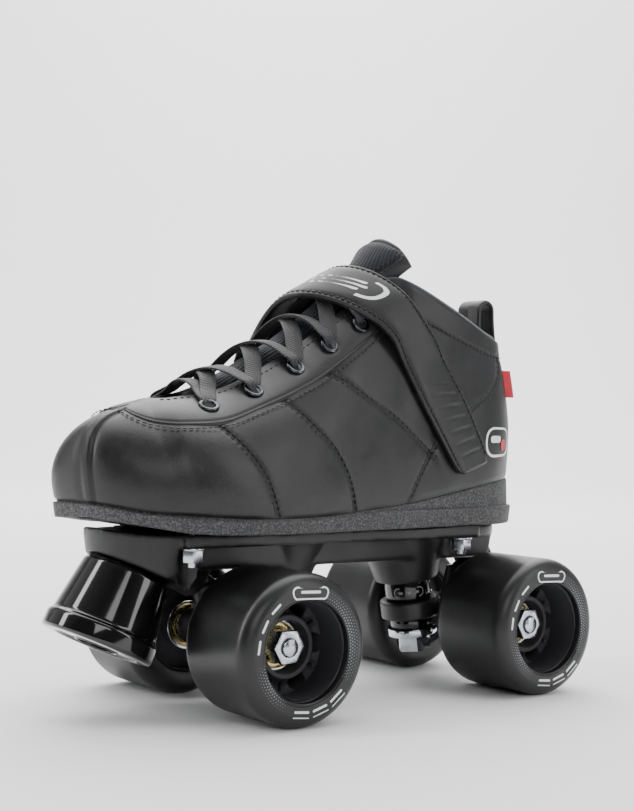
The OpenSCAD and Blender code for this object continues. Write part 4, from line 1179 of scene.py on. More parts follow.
        # A near-black disc just inside each eyelet: painted shadow in the hole.
        shadow_disc = np.array([[0, -1.2], [3.0, -1.2], [3.0, -0.5], [0, -0.5]])
        rims, shadow_discs = [], []
        for side in Side:
            for et, ev in zip(self.eyelet_t, self.eyelet_v):
                t, v = np.array([et]), np.array([ev])
                at, n = self.last.skin(t, side, v, self.stay_t - 0.1)[0], self.last.normal(t, side, v)[0]
                rims.append(revolve(roll, at, n, 40))
                shadow_discs.append(revolve(shadow_disc, at + n * 0.75, n, 24))
        piece = make_piece("eyelet_rims", *gather(rims), Stock.EYELET)
        place_piece(piece, Body.BOOT, "eyelet_metal", ["eyelets"])
        place_piece(make_piece("eyelet_holes", *gather(shadow_discs), Stock.HOLE_SHADOW), Body.BOOT, "eyelet_metal")

    def collar(self) -> None:
        """Builds the collar's padded lining.

        Across the collar its outline starts inside the leather's edge, rolls over as half an ellipse
        that stands above the edge, and runs down the inside to the footbed.
        """
        halves = []
        for side in (Side.OUTER, Side.INNER):
            t = np.linspace(0.0, 0.43, 150)
            t = t if side is Side.OUTER else t[::-1]
            rim = self.last.skin(t, side, 1 + 0 * t)
            out = self.last.heading(t, side)
            fade = (1 - smooth(0.38, 0.43, t))[:, None]
            angle = np.linspace(-0.6, np.pi, 22)
            ring = [
                rim - out * (3.4 + 1.2 * fade) + UP * (-0.8)
                + out * (2.6 + 1.2 * fade) * np.cos(a) + UP * (1.6 + 2.6 * fade) * np.sin(a)
                for a in angle
            ]
            for v, depth in ((0.92, 9.0), (0.8, 9.2), (0.65, 8.2), (0.45, 6.0), (0.25, 5.0), (0.06, 4.8)):
                ring.append(self.last.skin(t, side, v + 0 * t, -depth + 2.0 * (1 - fade[:, 0])))
            for v in (0.06, 0.5, 0.93):
                ring.append(self.last.skin(t, side, v + 0 * t, -self.leather_t - 0.3))
            halves.append(np.stack(ring, 1))
        loop = np.concatenate([halves[1], halves[0][1:]])
        count = loop.shape[1]
        steps = np.linspace(0, count, 81)[:-1]
        closed = np.concatenate([loop, loop[:, :1]], 1)
        table_at = np.arange(count + 1)
        fine = np.stack([
            np.stack([np.interp(steps, table_at, closed[i, :, k]) for k in range(3)],
                1) for i in range(len(closed))
        ])
        for _ in range(3):
            fine = 0.5 * fine + 0.25 * np.roll(fine, 1, 1) + 0.25 * np.roll(fine, -1, 1)
        around = np.cumsum(np.linalg.norm(np.diff(fine, axis=1, prepend=fine[:, :1]), axis=2), axis=1)
        along = np.cumsum(np.linalg.norm(np.diff(fine[:, :1], axis=0, prepend=fine[:1, :1]), axis=2), axis=0)
        uv = np.stack([along + 0 * around, around], 2)
        faces = grid_faces(*fine.shape[:2], wrap_cols=True)
        n = fine.shape[1]
        cap = np.stack([np.arange(n // 2 - 1), np.arange(1, n // 2), n - 2 - np.arange(n // 2 - 1),
            n - 1 - np.arange(n // 2 - 1)], 1)
        ends = np.concatenate([cap, cap[:, ::-1] + (len(fine) - 1) * n])
        piece = make_piece("collar_padding", fine, np.concatenate([faces, ends]), Stock.LINING, uv=uv,
            edge=80)
        place_piece(piece, Body.BOOT, "collar_lining", ["collar_lining"])

    def footbed(self) -> None:
        """Builds the footbed: a foam sole whose top dishes up at its edges."""
        t = np.linspace(0.012, 0.988, 160)[:, None]
        q = np.linspace(-1, 1, 41)[None, :]
        a = self.last.feather(t.ravel(), Side.OUTER) - self.last.heading(t.ravel(), Side.OUTER) * 5.2
        b = self.last.feather(t.ravel(), Side.INNER) - self.last.heading(t.ravel(), Side.INNER) * 5.2
        base = mix(a[:, None], b[:, None], (q[..., None] + 1) / 2) + UP * DECK
        top = base + UP * (5.6 + 1.6 * np.abs(q[..., None]) ** 4)
        points, faces = shut_shell(top, base + UP * 3.7)
        uv = np.concatenate([top[..., :2].reshape(-1, 2)] * 2)
        piece = make_piece("footbed", points, faces, Stock.FOOTBED, uv=uv, edge=50)
        place_piece(piece, Body.BOOT, "insole_foam", ["insole"])

    def build(self) -> None:
        """Builds the whole boot."""
        for side in Side:
            self.upper_half(side)
        self.eyestays()
        self.sewing()
        self.eyelets()
        self.collar()
        self.footbed()


def lengths_along_rows(grid: Array) -> Array:
    """Gives the distance along each row of a grid of points from that row's start."""
    steps = np.linalg.norm(np.diff(grid, axis=1), axis=2)
    return np.concatenate([np.zeros((len(grid), 1)), np.cumsum(steps, 1)], 1)


@dataclass
class Tongue:
    """The tongue: a padded ribbed cloth with a smooth bound edge that stands up out of the throat."""

    line: Array = field(default_factory=lambda: np.array([
        [0, 100, 50.5, 7, 1.5, 2.5], [1, 84, 58, 12, 5.5, 4], [2, 62, 70.5, 14, 10, 5],
            [3, 41, 83, 14.5, 13, 5.5],
        [4, 22, 97, 14.5, 14.5, 6], [5, 8, 108.5, 14, 16, 6], [6, -3, 119.5, 14.5, 14, 7],
        [7, -12, 129.5, 21, 13, 7.5], [8, -19, 135, 19, 10,
            6.5]]))  # place, x, z, half width, arch, thickness
    binding: float = 4.6
    rows: int = 260
    cols: int = 72

    def surface(self) -> tuple[Array, Array, Array, Array, Array]:
        """Works out the tongue's upper sheet.

        Its line is the smooth curve through the table. Across it the sheet drops as the square of
        the distance from the middle, and its half width shrinks as a rounded end at the top.

        Returns:
            The sheet's points, its normals, its half thickness, each point's distance from the
            edge, and each row's distance along the tongue.
        """
        s = np.linspace(0, 8, self.rows)
        x, z, half, arch, thick = curve(self.line, s)[:, 1:].T
        end = np.sqrt(np.clip(1 - np.clip((s - 6.7) / 1.31, 0, 1) ** 3.0, 0, 1))
        k = np.linspace(-1, 1, self.cols)[None, :]
        slope = unit(np.stack([np.gradient(x), np.gradient(z)], 1))
        drop = (arch * end)[:, None] * k * k
        width = np.maximum(half * end, 0.6)[:, None]
        sheet = np.stack([x[:, None] - slope[:, 1:] * drop, width * k,
            DECK + z[:, None] + slope[:, :1] * drop], 2)
        normal = normals_of(sheet)
        normal = normal * np.sign((normal * np.array([0.7, 0, 0.7])).sum(2, keepdims=True) + 1e-9)
        along = lengths(sheet[:, self.cols // 2])
        to_edge = np.minimum((1 - np.abs(k)) * width, (along[-1] - along)[:, None] + 0 * k)
        round_off = np.sqrt(np.clip(1 - (1 - np.clip(to_edge / 3.4, 0, 1)) ** 2, 0.004, 1))
        return sheet, normal, (thick / 2)[:, None] * round_off, to_edge, along

    def build(self) -> None:
        """Builds the tongue's cloth, its bound edge and the sewing between them."""
        sheet, normal, half, to_edge, along = self.surface()
        welt = -0.8 * np.exp(-(((to_edge - self.binding) / 0.8) ** 2))
        full = 0.8 * smooth(self.binding, self.binding + 5, to_edge)
        middle = sheet - normal * (curve(self.line, np.linspace(0, 8, self.rows))[:, 5] / 2)[:, None, None]
        front = middle + normal * (half + (welt + full) * np.clip(half / 2, 0, 1))[..., None]
        points, faces = shut_shell(front, middle - normal * half[..., None])
        uv = np.concatenate([np.stack([sheet[..., 1], along[:, None] + 0 * to_edge], 2).reshape(-1, 2)] * 2)
        bound = np.concatenate([(to_edge < self.binding).ravel()] * 2)
        piece = make_piece("tongue_padding", points, faces, Stock.TONGUE, uv=uv, shades={"bound": bound},
            edge=80)
        piece.data.materials.append(Stock.PIPING.make())
        share = np.zeros(len(piece.data.vertices), np.float32)
        piece.data.attributes["bound"].data.foreach_get("value", share)
        for face in piece.data.polygons:
            face.material_index = int(share[list(face.vertices)].mean() > 0.5)
        place_piece(piece, Body.BOOT, "tongue_mesh", ["tongue"])
        self.sew(front, normal, to_edge)

    def sew(self, front: Array, normal: Array, to_edge: Array) -> None:
        """Sews the binding down: up one edge, round the top and down the other edge."""
        rows = np.arange(int(self.rows * 0.3), self.rows)
        middle = self.cols // 2
        stitches = []
        for inset in (self.binding - 0.9, self.binding + 1.1):
            reach = rows[to_edge[rows, middle] > inset]
            right = np.array([np.interp(-inset, -to_edge[r, middle:],
                np.arange(middle, self.cols)) for r in reach])
            route = np.concatenate([
                np.stack([reach, right], 1), np.stack([reach, self.cols - 1 - right], 1)[::-1]
            ]) / [self.rows - 1, self.cols - 1]
            path = soften(sample(front, route[:, 0], route[:, 1]), 8)
            face = unit(sample(normal, route[:, 0], route[:, 1]))
            keep = np.concatenate([[True], np.linalg.norm(np.diff(path, axis=0), axis=1) > 0.02])
            stitches.append(stitch_row(path[keep] + face[keep] * 0.1, face[keep], pitch=2.6))
        piece = make_piece("tongue_thread", *gather(stitches), Stock.THREAD, edge=80)
        place_piece(piece, Body.BOOT, "tongue_mesh")


def flat_band(path: Array, up: Array, width: Array, thick: float, ring: int = 24,
    square: float = 0.35) -> tuple[Array, Array, Array]:
    """Carries a flat rounded outline along a path.

    The outline is a squared-off ellipse: the cosine and sine of its angle, each raised to a small
    power with its sign kept.

    Args:
        path: the band's middle line.
        up: the band's upper side at each point.
        width: its width at each point.
        thick: its thickness.
        ring: points round the outline.
        square: how square the outline is, 1 for an ellipse and less for a squarer one.

    Returns:
        The points, the quads and the surface coordinates, across and along, in millimetres.
    """
    along = unit(np.gradient(path, axis=0))
    across = unit(np.cross(along, up))
    face = np.cross(across, along)
    a = np.linspace(0, 2 * np.pi, ring, endpoint=False)
    x = np.sign(np.cos(a)) * np.abs(np.cos(a)) ** square / 2
    y = np.sign(np.sin(a)) * np.abs(np.sin(a)) ** 0.8 / 2
    wide = np.asarray(width).reshape(-1, 1) * x[None]
    points = path[:, None] + across[:, None] * wide[..., None] + face[:, None] * (y * thick)[None, :, None]
    faces = grid_faces(len(path), ring, wrap_cols=True)
    j = np.arange(ring // 2 - 1)
    cap = np.stack([j, j + 1, ring - 2 - j, ring - 1 - j], 1)
    faces = np.concatenate([faces, cap, cap[:, ::-1] + (len(path) - 1) * ring])
    uv = np.stack([wide, np.broadcast_to(lengths(path)[:, None], wide.shape)], 2)
    return points, faces, uv


@dataclass
class Laces:
    """The flat laces: a straight bar at the toe, then crossed runs up to the strap."""

    boot: Boot
    width: float = 7.6
    thick: float = 1.3
    reach: float = 0.17

    def run(self, i: int, j: int, side: Side, over: float) -> tuple[Array, Array]:
        """Gives one run's middle line and its upper side.

        It climbs out of an eyelet, crosses the eyestay's edge and the crest of the tongue, and dives
        into the next eyelet on the other side.

        Args:
            i: the eyelet that it leaves, counted from the toe.
            j: the eyelet that it enters.
            side: the side that it leaves from.
            over: its height over the eyestay and the tongue.

        Returns:
            The points and the directions.
        """
        boot, other = self.boot, Side.INNER if side is Side.OUTER else Side.OUTER
        k = np.linspace(0, 1, 90)
        t = mix(boot.eyelet_t[i], boot.eyelet_t[j], k)
        rise = over + 1.4 * np.sin(np.pi * k) - 3.2 * np.exp(-((np.minimum(k, 1 - k) / 0.028) ** 2))
        v_a = mix(boot.eyelet_v[i], 1.0, np.clip(k / self.reach, 0, 1))
        v_b = mix(boot.eyelet_v[j], 1.0, np.clip((1 - k) / self.reach, 0, 1))
        q = side.value * mix(-1.0, 1.0, np.clip((k - self.reach) / (1 - 2 * self.reach), 0, 1))
        low = boot.last.skin(t, side, v_a)
        high = boot.last.skin(t, other, v_b)
        middle = boot.last.crown(t, q)
        centre = np.where((k < self.reach)[:, None], low,
            np.where((k > 1 - self.reach)[:, None], high, middle))
        up_a, up_b = boot.last.normal(t, side, v_a), boot.last.normal(t, other, v_b)
        up_m = unit(boot.last.crown(t, q, 1.0) - middle)
        up = np.where((k < self.reach)[:, None], up_a, np.where((k > 1 - self.reach)[:, None], up_b, up_m))
        up = unit(soften(up, 30))
        centre = soften(centre, 24)
        return centre + up * rise[:, None], up

    def build(self) -> None:
        """Builds all the runs as one woven piece."""
        runs = [(0, 0, Side.OUTER, 1.9)]
        for i in range(4):
            runs += [(i, i + 1, Side.OUTER, 1.9), (i, i + 1, Side.INNER, 3.5)]
        parts, uvs = [], []
        for i, j, side, over in runs:
            path, up = self.run(i, j, side, over)
            even = np.linspace(0, lengths(path)[-1], 110)
            both = respace(np.concatenate([path, up], 1), even)
            path, up = both[:, :3], unit(both[:, 3:])
            k = np.linspace(0, 1, len(path))
            near = np.minimum(k, 1 - k) * even[-1]
            width = mix(3.6, self.width, smooth(0.5, 8.0, near)) * (1 - 0.06 * np.sin(k * 9 + i))
            lean = np.cross(unit(np.gradient(path, axis=0)),
                up) * (0.12 * np.sin(k * 5 + i + side.value))[:, None]
            points, faces, uv = flat_band(path, unit(up + lean), width, self.thick)
            parts.append((points, faces))
            uvs.append(uv.reshape(-1, 2))
        points, faces = gather(parts)
        piece = make_piece("laces_woven", points, faces, Stock.LACE, uv=np.concatenate(uvs), edge=70)
        place_piece(piece, Body.BOOT, "lace", ["laces"])


@dataclass
class Strap:
    """The instep strap: sewn down on the inner side, over the laces, to a peeling tail outside."""

    boot: Boot
    thick: float = 3.4
    front: Array = field(default_factory=lambda: np.array(
        [[0, 0.497, 0.83], [0.5, 0.395, 0.47], [1, 0.283, 0.07]]))
    rear: Array = field(default_factory=lambda: np.array(
        [[0, 0.392, 0.88], [0.5, 0.29, 0.55], [1, 0.208, 0.12]]))
    inner_front: Array = field(default_factory=lambda: np.array([[0, 0.61, 0.86], [1, 0.62, 0.3]]))
    inner_rear: Array = field(default_factory=lambda: np.array([[0, 0.475, 0.9], [1, 0.5, 0.34]]))
    crest_front: tuple[float, ...] = (31, 0, 101.5)
    crest_rear: tuple[float, ...] = (3, 0, 117)
    hinge: float = 0.36

    def flank(self, u: Array, w: Array, side: Side) -> Array:
        """Gives points of the strap's middle on the boot's side, u down the strap and w across it."""
        edges = (self.front, self.rear) if side is Side.OUTER else (self.inner_front, self.inner_rear)
        a, b = (curve(e, u.ravel()) for e in edges)
        high, start, stop = (3.2, 0.26, 0.36) if side is Side.OUTER else (5.2, 0.4, 0.66)
        lift = mix(high, 0.5, np.clip((u - start) / (stop - start), 0, 1)) + self.thick / 2
        t, v = (mix(a[:, k][:, None], b[:, k][:, None], w[None, :]) for k in (1, 2))
        return self.boot.last.skin(t, side, v, np.broadcast_to(lift.reshape(-1, 1), t.shape))

    def arch(self, q: Array, w: Array) -> Array:
        """Gives points of the strap's middle over the instep.

        Between the two take-off points and the crest, the place along the boot goes with the 1.3th
        power of the distance from the middle, and the height with its 2.4th.
        """
        h, side = np.abs(q)[:, None], (q < 0)[:, None, None]
        zero = np.zeros(1)
        outer, inner = self.flank(zero, w, Side.OUTER)[0], self.flank(zero, w, Side.INNER)[0]
        foot = np.where(side, outer[None], inner[None])
        top = mix(np.array(self.crest_front)[None], np.array(self.crest_rear)[None], w[:, None])
        top = top + UP * (DECK + self.thick / 2)
        x = mix(top[None, :, 0], foot[..., 0], h**1.3)
        z = mix(top[None, :, 2], foot[..., 2], h**2.4)
        return np.stack([x, foot[..., 1] * h, z], 2)

    def sheet(self, cols: int = 33) -> tuple[Array, Array]:
        """Gives the strap's middle sheet, evenly spaced down its length, and its normals."""
        w = np.linspace(0, 1, cols)
        inner = self.flank(np.linspace(1, 0, 50), w, Side.INNER)[:-1]
        over = self.arch(np.linspace(1, -1, 81), w)
        outer = self.flank(np.linspace(0, 1, 100), w, Side.OUTER)[1:]
        raw = np.concatenate([inner, over, outer])
        along = lengths(raw[:, cols // 2])
        even = np.linspace(0, along[-1], 320)
        grid = np.stack([
            np.stack([np.interp(even, along, raw[:, j, k]) for k in range(3)], 1) for j in range(cols)
        ], 1)
        grid = soften(grid, 60)
        normal = normals_of(grid)
        centre = grid.mean((0, 1)) * [1, 0, 1] + [0, 0, -25]
        flip = np.sign(((grid - centre) * normal).sum(2).mean())
        return grid, normal * flip

    def build(self) -> None:
        """Builds the strap with its coated edge, sewing, ladder patch and badge."""
        grid, normal = self.sheet()
        size = lengths(grid[:, grid.shape[1] // 2])[-1]
        self.size = size
        ladder = self.ladder(size)
        rows = 420
        s = np.linspace(0, 1, rows)[:, None]
        a = np.linspace(0, 2 * np.pi, 64, endpoint=False)[None, :]
        w = 0.5 + 0.5 * np.sign(np.cos(a)) * np.abs(np.cos(a)) ** 0.28
        end = np.clip((1 - s) * size, 0, 60)
        squeeze = np.sqrt(np.clip(1 - (1 - np.clip(end / 9, 0, 1)) ** 2.6, 0, 1))
        start = np.clip(s * size, 0, 60)
        squeeze = squeeze * np.sqrt(np.clip(1 - (1 - np.clip(start / 3, 0, 1)) ** 2, 0.05, 1))
        w = 0.5 + (w - 0.5) * mix(0.62, 1.0, squeeze)
        point = sample(grid, s + 0 * w, w)
        face = unit(sample(normal, s + 0 * w, w))
        width = 38.0
        h = np.sign(np.sin(a)) * np.abs(np.sin(a)) ** 0.5 * self.thick / 2
        taper = np.clip(np.minimum(end, start) / 1.6, 0.1, 1) ** 0.5
        to_edge = np.minimum(w, 1 - w) * width
        groove = np.exp(-(((to_edge - 3.0) / 0.8) ** 2)) * smooth(0.0, 0.02, s) * (a < np.pi)
        rungs = self.rung_relief(s, w, ladder) * (a < np.pi)
        crown = 0.35 * smooth(3.0, 9.0, to_edge) * (a < np.pi)
        lift = (h - 0.35 * groove + crown + rungs) * taper
        points = point + face * lift[..., None]
        faces = grid_faces(rows, a.shape[1], wrap_cols=True)
        n = a.shape[1]
        j = np.arange(n // 2 - 1)
        cap = np.stack([j, j + 1, n - 2 - j, n - 1 - j], 1)
        faces = np.concatenate([faces, cap, cap[:, ::-1] + (rows - 1) * n])
        # The groove by the edge sewing also darkens the strap leather as painted shade.
        shade = np.broadcast_to(groove, lift.shape)
        piece = make_piece("strap_band", points, faces, Stock.STRAP_LEATHER, shades={"seam": shade}, edge=75)
        self.cross(piece, "boot_leather", ["strap", "strap_tail"])
        self.sew(grid, normal, ladder)
        self.badge(grid, normal)

    def cross(self, piece: bpy.types.Object, slot: str, replaces: Sequence[str] = ()) -> None:
        """Bakes a strap piece's transform into its mesh, hides what it stands for and logs it."""
        at = self.flank(np.array([self.hinge]), np.array([0.5]), Side.OUTER)[0, 0]
        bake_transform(piece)
        if replaces:
            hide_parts(*replaces)
        log.info("%-28s %7d faces over the strap's hinge", piece.name, len(piece.data.polygons))

    def ladder(self, size: float) -> Array:
        """Gives the patch near the strap's end: where each of its seven rungs lies down the strap."""
        return 1 - (9.0 + np.arange(7) * 6.2) / size

    def rung_relief(self, s: Array, w: Array, ladder: Array) -> Array:
        """Gives the small swell between rungs and the grooves at them."""
        inside = smooth(0.26, 0.3, w) * (1 - smooth(0.76, 0.8, w)) * smooth(ladder[-1] - 0.004, ladder[-1], s)
        inside = inside * (1 - smooth(ladder[0], ladder[0] + 0.004, s))
        gap = np.abs(s[..., None] - ladder).min(-1) * self.size
        return inside * (0.3 - 0.6 * np.exp(-((gap / 1.0) ** 2)))

    def sew(self, grid: Array, normal: Array, ladder: Array) -> None:
        """Sews both edges and the ladder patch."""
        rows = []

        def lay(s: Array, w: Array, pitch: float = 2.7) -> None:
            path, face = sample(grid, s, w), unit(sample(normal, s, w))
            rows.append(stitch_row(path + face * (self.thick / 2 - 0.15), face, pitch=pitch))

        down = np.linspace(0.02, 1 - 5.0 / self.size, 200)
        turn = np.linspace(0, 1, 40)
        lay(down, 3.0 / 38 + 0 * down)
        lay(down, 1 - 3.0 / 38 + 0 * down)
        lay(1 - 4.2 / self.size + 0 * turn, mix(0.1, 0.9, turn))
        lay(0.018 + 0 * turn, mix(0.1, 0.9, turn))
        for rung in ladder:
            lay(rung + 0 * turn, mix(0.28, 0.78, turn), 2.2)
        side = np.linspace(ladder[-1], ladder[0], 60)
        lay(side, 0.28 + 0 * side)
        lay(side, 0.78 + 0 * side)
        piece = make_piece("strap_thread", *gather(rows), Stock.THREAD, edge=80)
        self.cross(piece, "boot_leather")

    def badge(self, grid: Array, normal: Array) -> None:
        """Prints a plain badge on top: a white rounded frame round a dark field with three bars."""
        size = self.size
        middle = self.badge_at(grid)

        def onto(flat: Array) -> Array:
            s, w = middle + flat[:, 0] / size, 0.47 + flat[:, 1] / 38.0
            return sample(grid, s, w) + unit(sample(normal, s, w)) * (self.thick / 2 + 0.42)

        frame = filled(box_outline(0, 0, 47, 19, 7, 8), box_outline(0, 0, 42.5, 14.5, 5, 8), 3)
        bars = [filled(box_outline(0, y, 30 - abs(y) * 1.2, 2.2, 1.0, 4), rings=3) for y in (-3.9, 0, 3.9)]
        points, faces = printed([frame, *bars], onto)
        piece = make_piece("strap_badge", points, faces, Stock.WHITE_INK, closed=False,
            facing=np.array([0.3, 0.2, 1]))
        place_piece(piece, Body.BOOT, "boot_leather")

    def badge_at(self, grid: Array) -> float:
        """Gives how far down the strap the badge's middle lies: just outside the crest."""
        ridge = grid[:, grid.shape[1] // 2]
        return float(np.interp(7.0, ridge[60:240, 1], np.linspace(0, 1, len(ridge))[60:240]))


@dataclass
class HeelTrim:
    """The pull loop, the red label and the small round patch at the heel."""

    boot: Boot
    width: float = 16.0
    thick: float = 2.0

    def loop(self) -> None:
        """Builds the pull loop: webbing that goes up inside, over a half turn and down outside."""
        x, z = -82.5, DECK + 88.0
        a = np.linspace(0, np.pi, 40)
        arc = np.stack([x + 4.5 * np.cos(a), 0 * a, z + 15.5 + 4.5 * np.sin(a)], 1)
        inside = np.stack([np.full(30, x + 4.5), np.zeros(30), np.linspace(z - 11, z + 15.2, 30)], 1)
        outside = np.stack([
            x - 4.5 - 1.2 * np.linspace(0, 1, 20) ** 2, np.zeros(20), np.linspace(z + 15.2, z + 1.0, 20)], 1)
        path = np.concatenate([inside, arc, outside])
        even = respace(path, np.linspace(0, lengths(path)[-1], 130))
        tangent = unit(np.gradient(even, axis=0))
        up = np.cross(tangent, [0.0, 1.0, 0.0])
        k = np.linspace(0, 1, len(even))
        width = self.width * (1 - 0.04 * np.sin(np.pi * k) ** 2)
        points, faces, uv = flat_band(even, up, width, self.thick, 32, 0.22)
        piece = make_piece("pull_loop_webbing", points, faces, Stock.WEBBING, uv=uv, edge=70)
        place_piece(piece, Body.BOOT, "webbing", ["pull_loop"])
        rows = [
            stitch_row(even[30:125] + [0, y, 0] + up[30:125] * (self.thick / 2 - 0.1), up[30:125], pitch=2.4)
            for y in (-6.2, 6.2)
        ]
        place_piece(make_piece("pull_loop_thread", *gather(rows), Stock.THREAD, edge=80), Body.BOOT,
            "webbing")

    def label(self) -> None:
        """Builds the red label: a folded ribbon sewn into the seam behind the collar."""
        last = self.boot.last
        k = np.linspace(0, 1, 24)
        v = mix(0.58, 0.8, k)
        foot = last.skin(0.104 + 0 * k, Side.OUTER, v)
        out = unit(np.array([-0.9, 0.42, 0.0]))
        reach = np.linspace(0, 1, 10)
        front = foot[:, None] + out * (reach * 5.2 - 0.8)[None, :, None]
        front = front + np.array([0.42, 0.9, 0]) * (0.55 * np.sqrt(np.clip(1 - reach**4, 0, 1)))[None, :,
            None]
        back = front - np.array([0.42, 0.9, 0]) * (1.1 * np.sqrt(np.clip(1 - reach**4, 0.02, 1)))[None, :,
            None]
        points, faces = shut_shell(front, back)
        uv = np.stack([points[:, 0], points[:, 2]], 1)
        piece = make_piece("red_label", points, faces, Stock.RED_CLOTH, uv=uv, edge=60)
        place_piece(piece, Body.BOOT, "webbing")

    def patch(self) -> None:
        """Prints the patch: a white ring, with a red disc and a grey bar inside, on the heel's side."""
        last = self.boot.last

        def onto(flat: Array) -> Array:
            t, v = 0.166 + flat[:, 0] / 205.0, 0.235 + flat[:, 1] / 68.0
            return last.skin(t, Side.OUTER, v, 0.75)

        ring = filled(box_outline(0, 0, 19, 13, 5.5, 8), box_outline(0, 0, 17, 11, 4.6, 8), 2)
        dots = filled(box_outline(-3.5, -1.5, 5, 5, 2.4, 8), rings=3)
        bar = filled(box_outline(3.0, 1.0, 7, 3.0, 1.2, 6), rings=3)
        facing = np.array([-0.5, 1.0, 0.0])
        for name, shapes, ink in (
            ("heel_patch_white", [ring, bar], Stock.WHITE_INK), ("heel_patch_red", [dots], Stock.RED_CLOTH)
        ):
            points, faces = printed(shapes, onto)
            uv = np.stack([points[:, 0], points[:, 2]], 1)
            piece = make_piece(name, points, faces, ink, closed=False, uv=uv, facing=facing)
            place_piece(piece, Body.BOOT, "boot_leather")

    def build(self) -> None:
        """Builds all the heel's trim."""
        self.loop()
        self.label()
        self.patch()


@dataclass
class Sole:
    """The moulded outsole: a stippled band with a rounded lip, rising to a wedge at the heel."""

    last: Last
    welt_rear: float = 3.0
    welt_toe: float = 1.2

    def build(self) -> None:
        """Builds the sole as one closed surface.

        Each place round its edge has an outline from the middle of the underside, round the lip and
        the band, to the middle of the top.
        """
        halves = []
        for side in (Side.OUTER, Side.INNER):
            t = np.concatenate([np.linspace(0, 0.12, 60), np.linspace(0.12, 0.88, 200)[1:],
                np.linspace(0.88, 1, 80)[1:]])
            foot, d = self.last.feather(t, side), self.last.heading(t, side)
            other = self.last.feather(t, Side.INNER if side is Side.OUTER else Side.OUTER)
            welt = mix(self.welt_rear, self.welt_toe, np.clip((t - 0.74) / 0.2, 0, 1))
            low = DECK + np.maximum(0, curve(self.last.spring, t)[:, 1])
            top = foot[:, 2] + DECK
            band = np.minimum(low + 8.5, top - 0.8)
            middle = (foot + other) / 2
            ring = []

            def level(out: Array | float, z: Array) -> None:
                ring.append(foot * [1, 1, 0] + d * np.broadcast_to(out, t.shape)[:, None] + UP * z[:, None])

            ring.append(middle * [1, 1, 0] + UP * low[:, None])
            level(-6.0, low)
            level(welt - 2.2, low)
            for a in np.linspace(0, np.pi / 2, 5):
                level(welt - 1.6 + 0.8 * np.sin(a), low + 0.8 * (1 - np.cos(a)))
            for k in np.linspace(0.1, 0.9, 5):
                level(welt - 0.8 + 0.75 * k, mix(low + 0.8, band - 0.8, k))
            for a in np.linspace(0, np.pi / 2, 5):
                level(welt - 0.7 + 0.7 * np.cos(a), band - 0.7 + 0.7 * np.sin(a))
            for a in np.linspace(0, np.pi / 2, 4):
                level(welt - 1.2 - 0.5 * np.sin(a), band + 0.5 * (1 - np.cos(a)))
            for k in np.linspace(0.15, 0.95, 5):
                level(welt - 1.7 - 0.5 * k, mix(band + 0.5, top, k))
            level(welt - 2.7, top + 0.15)
            level(-6.0, top)
            ring.append(middle * [1, 1, 0] + UP * top[:, None])
            halves.append(np.stack(ring, 1))
        outline = np.concatenate([halves[0], halves[1][::-1][1:-1]])
        points, faces = outline, grid_faces(outline.shape[0], outline.shape[1], wrap_rows=True)
        piece = make_piece("outsole_rubber", points, faces, Stock.SOLE, edge=50)
        place_piece(piece, Body.BOOT, "sole_rubber", ["outsole"])


@dataclass
class Plate:
    """The nylon plate under the boot, with its bolts, nuts and washers."""

    voxel: float = 0.95

    def build(self) -> None:
        """Rebuilds the plate on an even grid, so that its joints become moulded fillets."""
        plate = merged_copy("plate", Stock.PLATE, voxel=self.voxel, passes=7)
        plate.name = "plate_moulding"
        place_piece(plate, Body.BOOT, "nylon", ["plate"])
        for node, finish in (("mount_nuts", Stock.ZINC), ("mount_bolts", Stock.ZINC),
            ("mount_washers", Stock.ZINC),
                             ("toe_stop_nut", Stock.ZINC), ("toe_stop_bolt", Stock.ZINC),
                                 ("toe_stop_washer", Stock.ZINC)):
            piece = merged_copy(node, finish, bevel=0.35)
            place_piece(piece, Body.BOOT, "zinc_steel", [node])


@dataclass
class ToeStop:
    """The toe stop: a polished urethane cone with a thick rounded brake pad at its end."""

    top: tuple[float, float, float] = (113.0, 0.0, DECK - 16.0)
    lean: float = 25.0
    radius: float = 24.0
    length: float = 34.0
    band: float = 9.0

    def build(self) -> None:
        """Turns the stop's outline round its leaning axis."""
        r, length = self.radius, self.length
        lean = np.radians(self.lean)
        axis = np.array([np.sin(lean), 0, -np.cos(lean)])
        outline = rounded([
            [3.9, 0.3, 0.3], [r - 6.5, 0.3, 1.2], [r - 5.2, 2.2, 0.8], [r - 1.6, length - self.band, 1.4],
            [r, length - self.band + 1.6, 1.2], [r, length - 0.2, 1.9], [r - 6, length, 2.0],
            [r - 6.6, length - 0.7, 0.5], [9.6, length - 0.7, 0.4], [9.2, length, 0.5], [8.6, length, 0.4],
            [8.5, length - 9, 0.8], [3.9, length - 9, 0.3]], 7)
        points, faces = revolve(outline, np.array(self.top), axis, 128)
        piece = make_piece("toe_stop_urethane", points, faces, Stock.STOPPER, edge=50)
        place_piece(piece, Body.BOOT, "stop_rubber", ["toe_stop"])


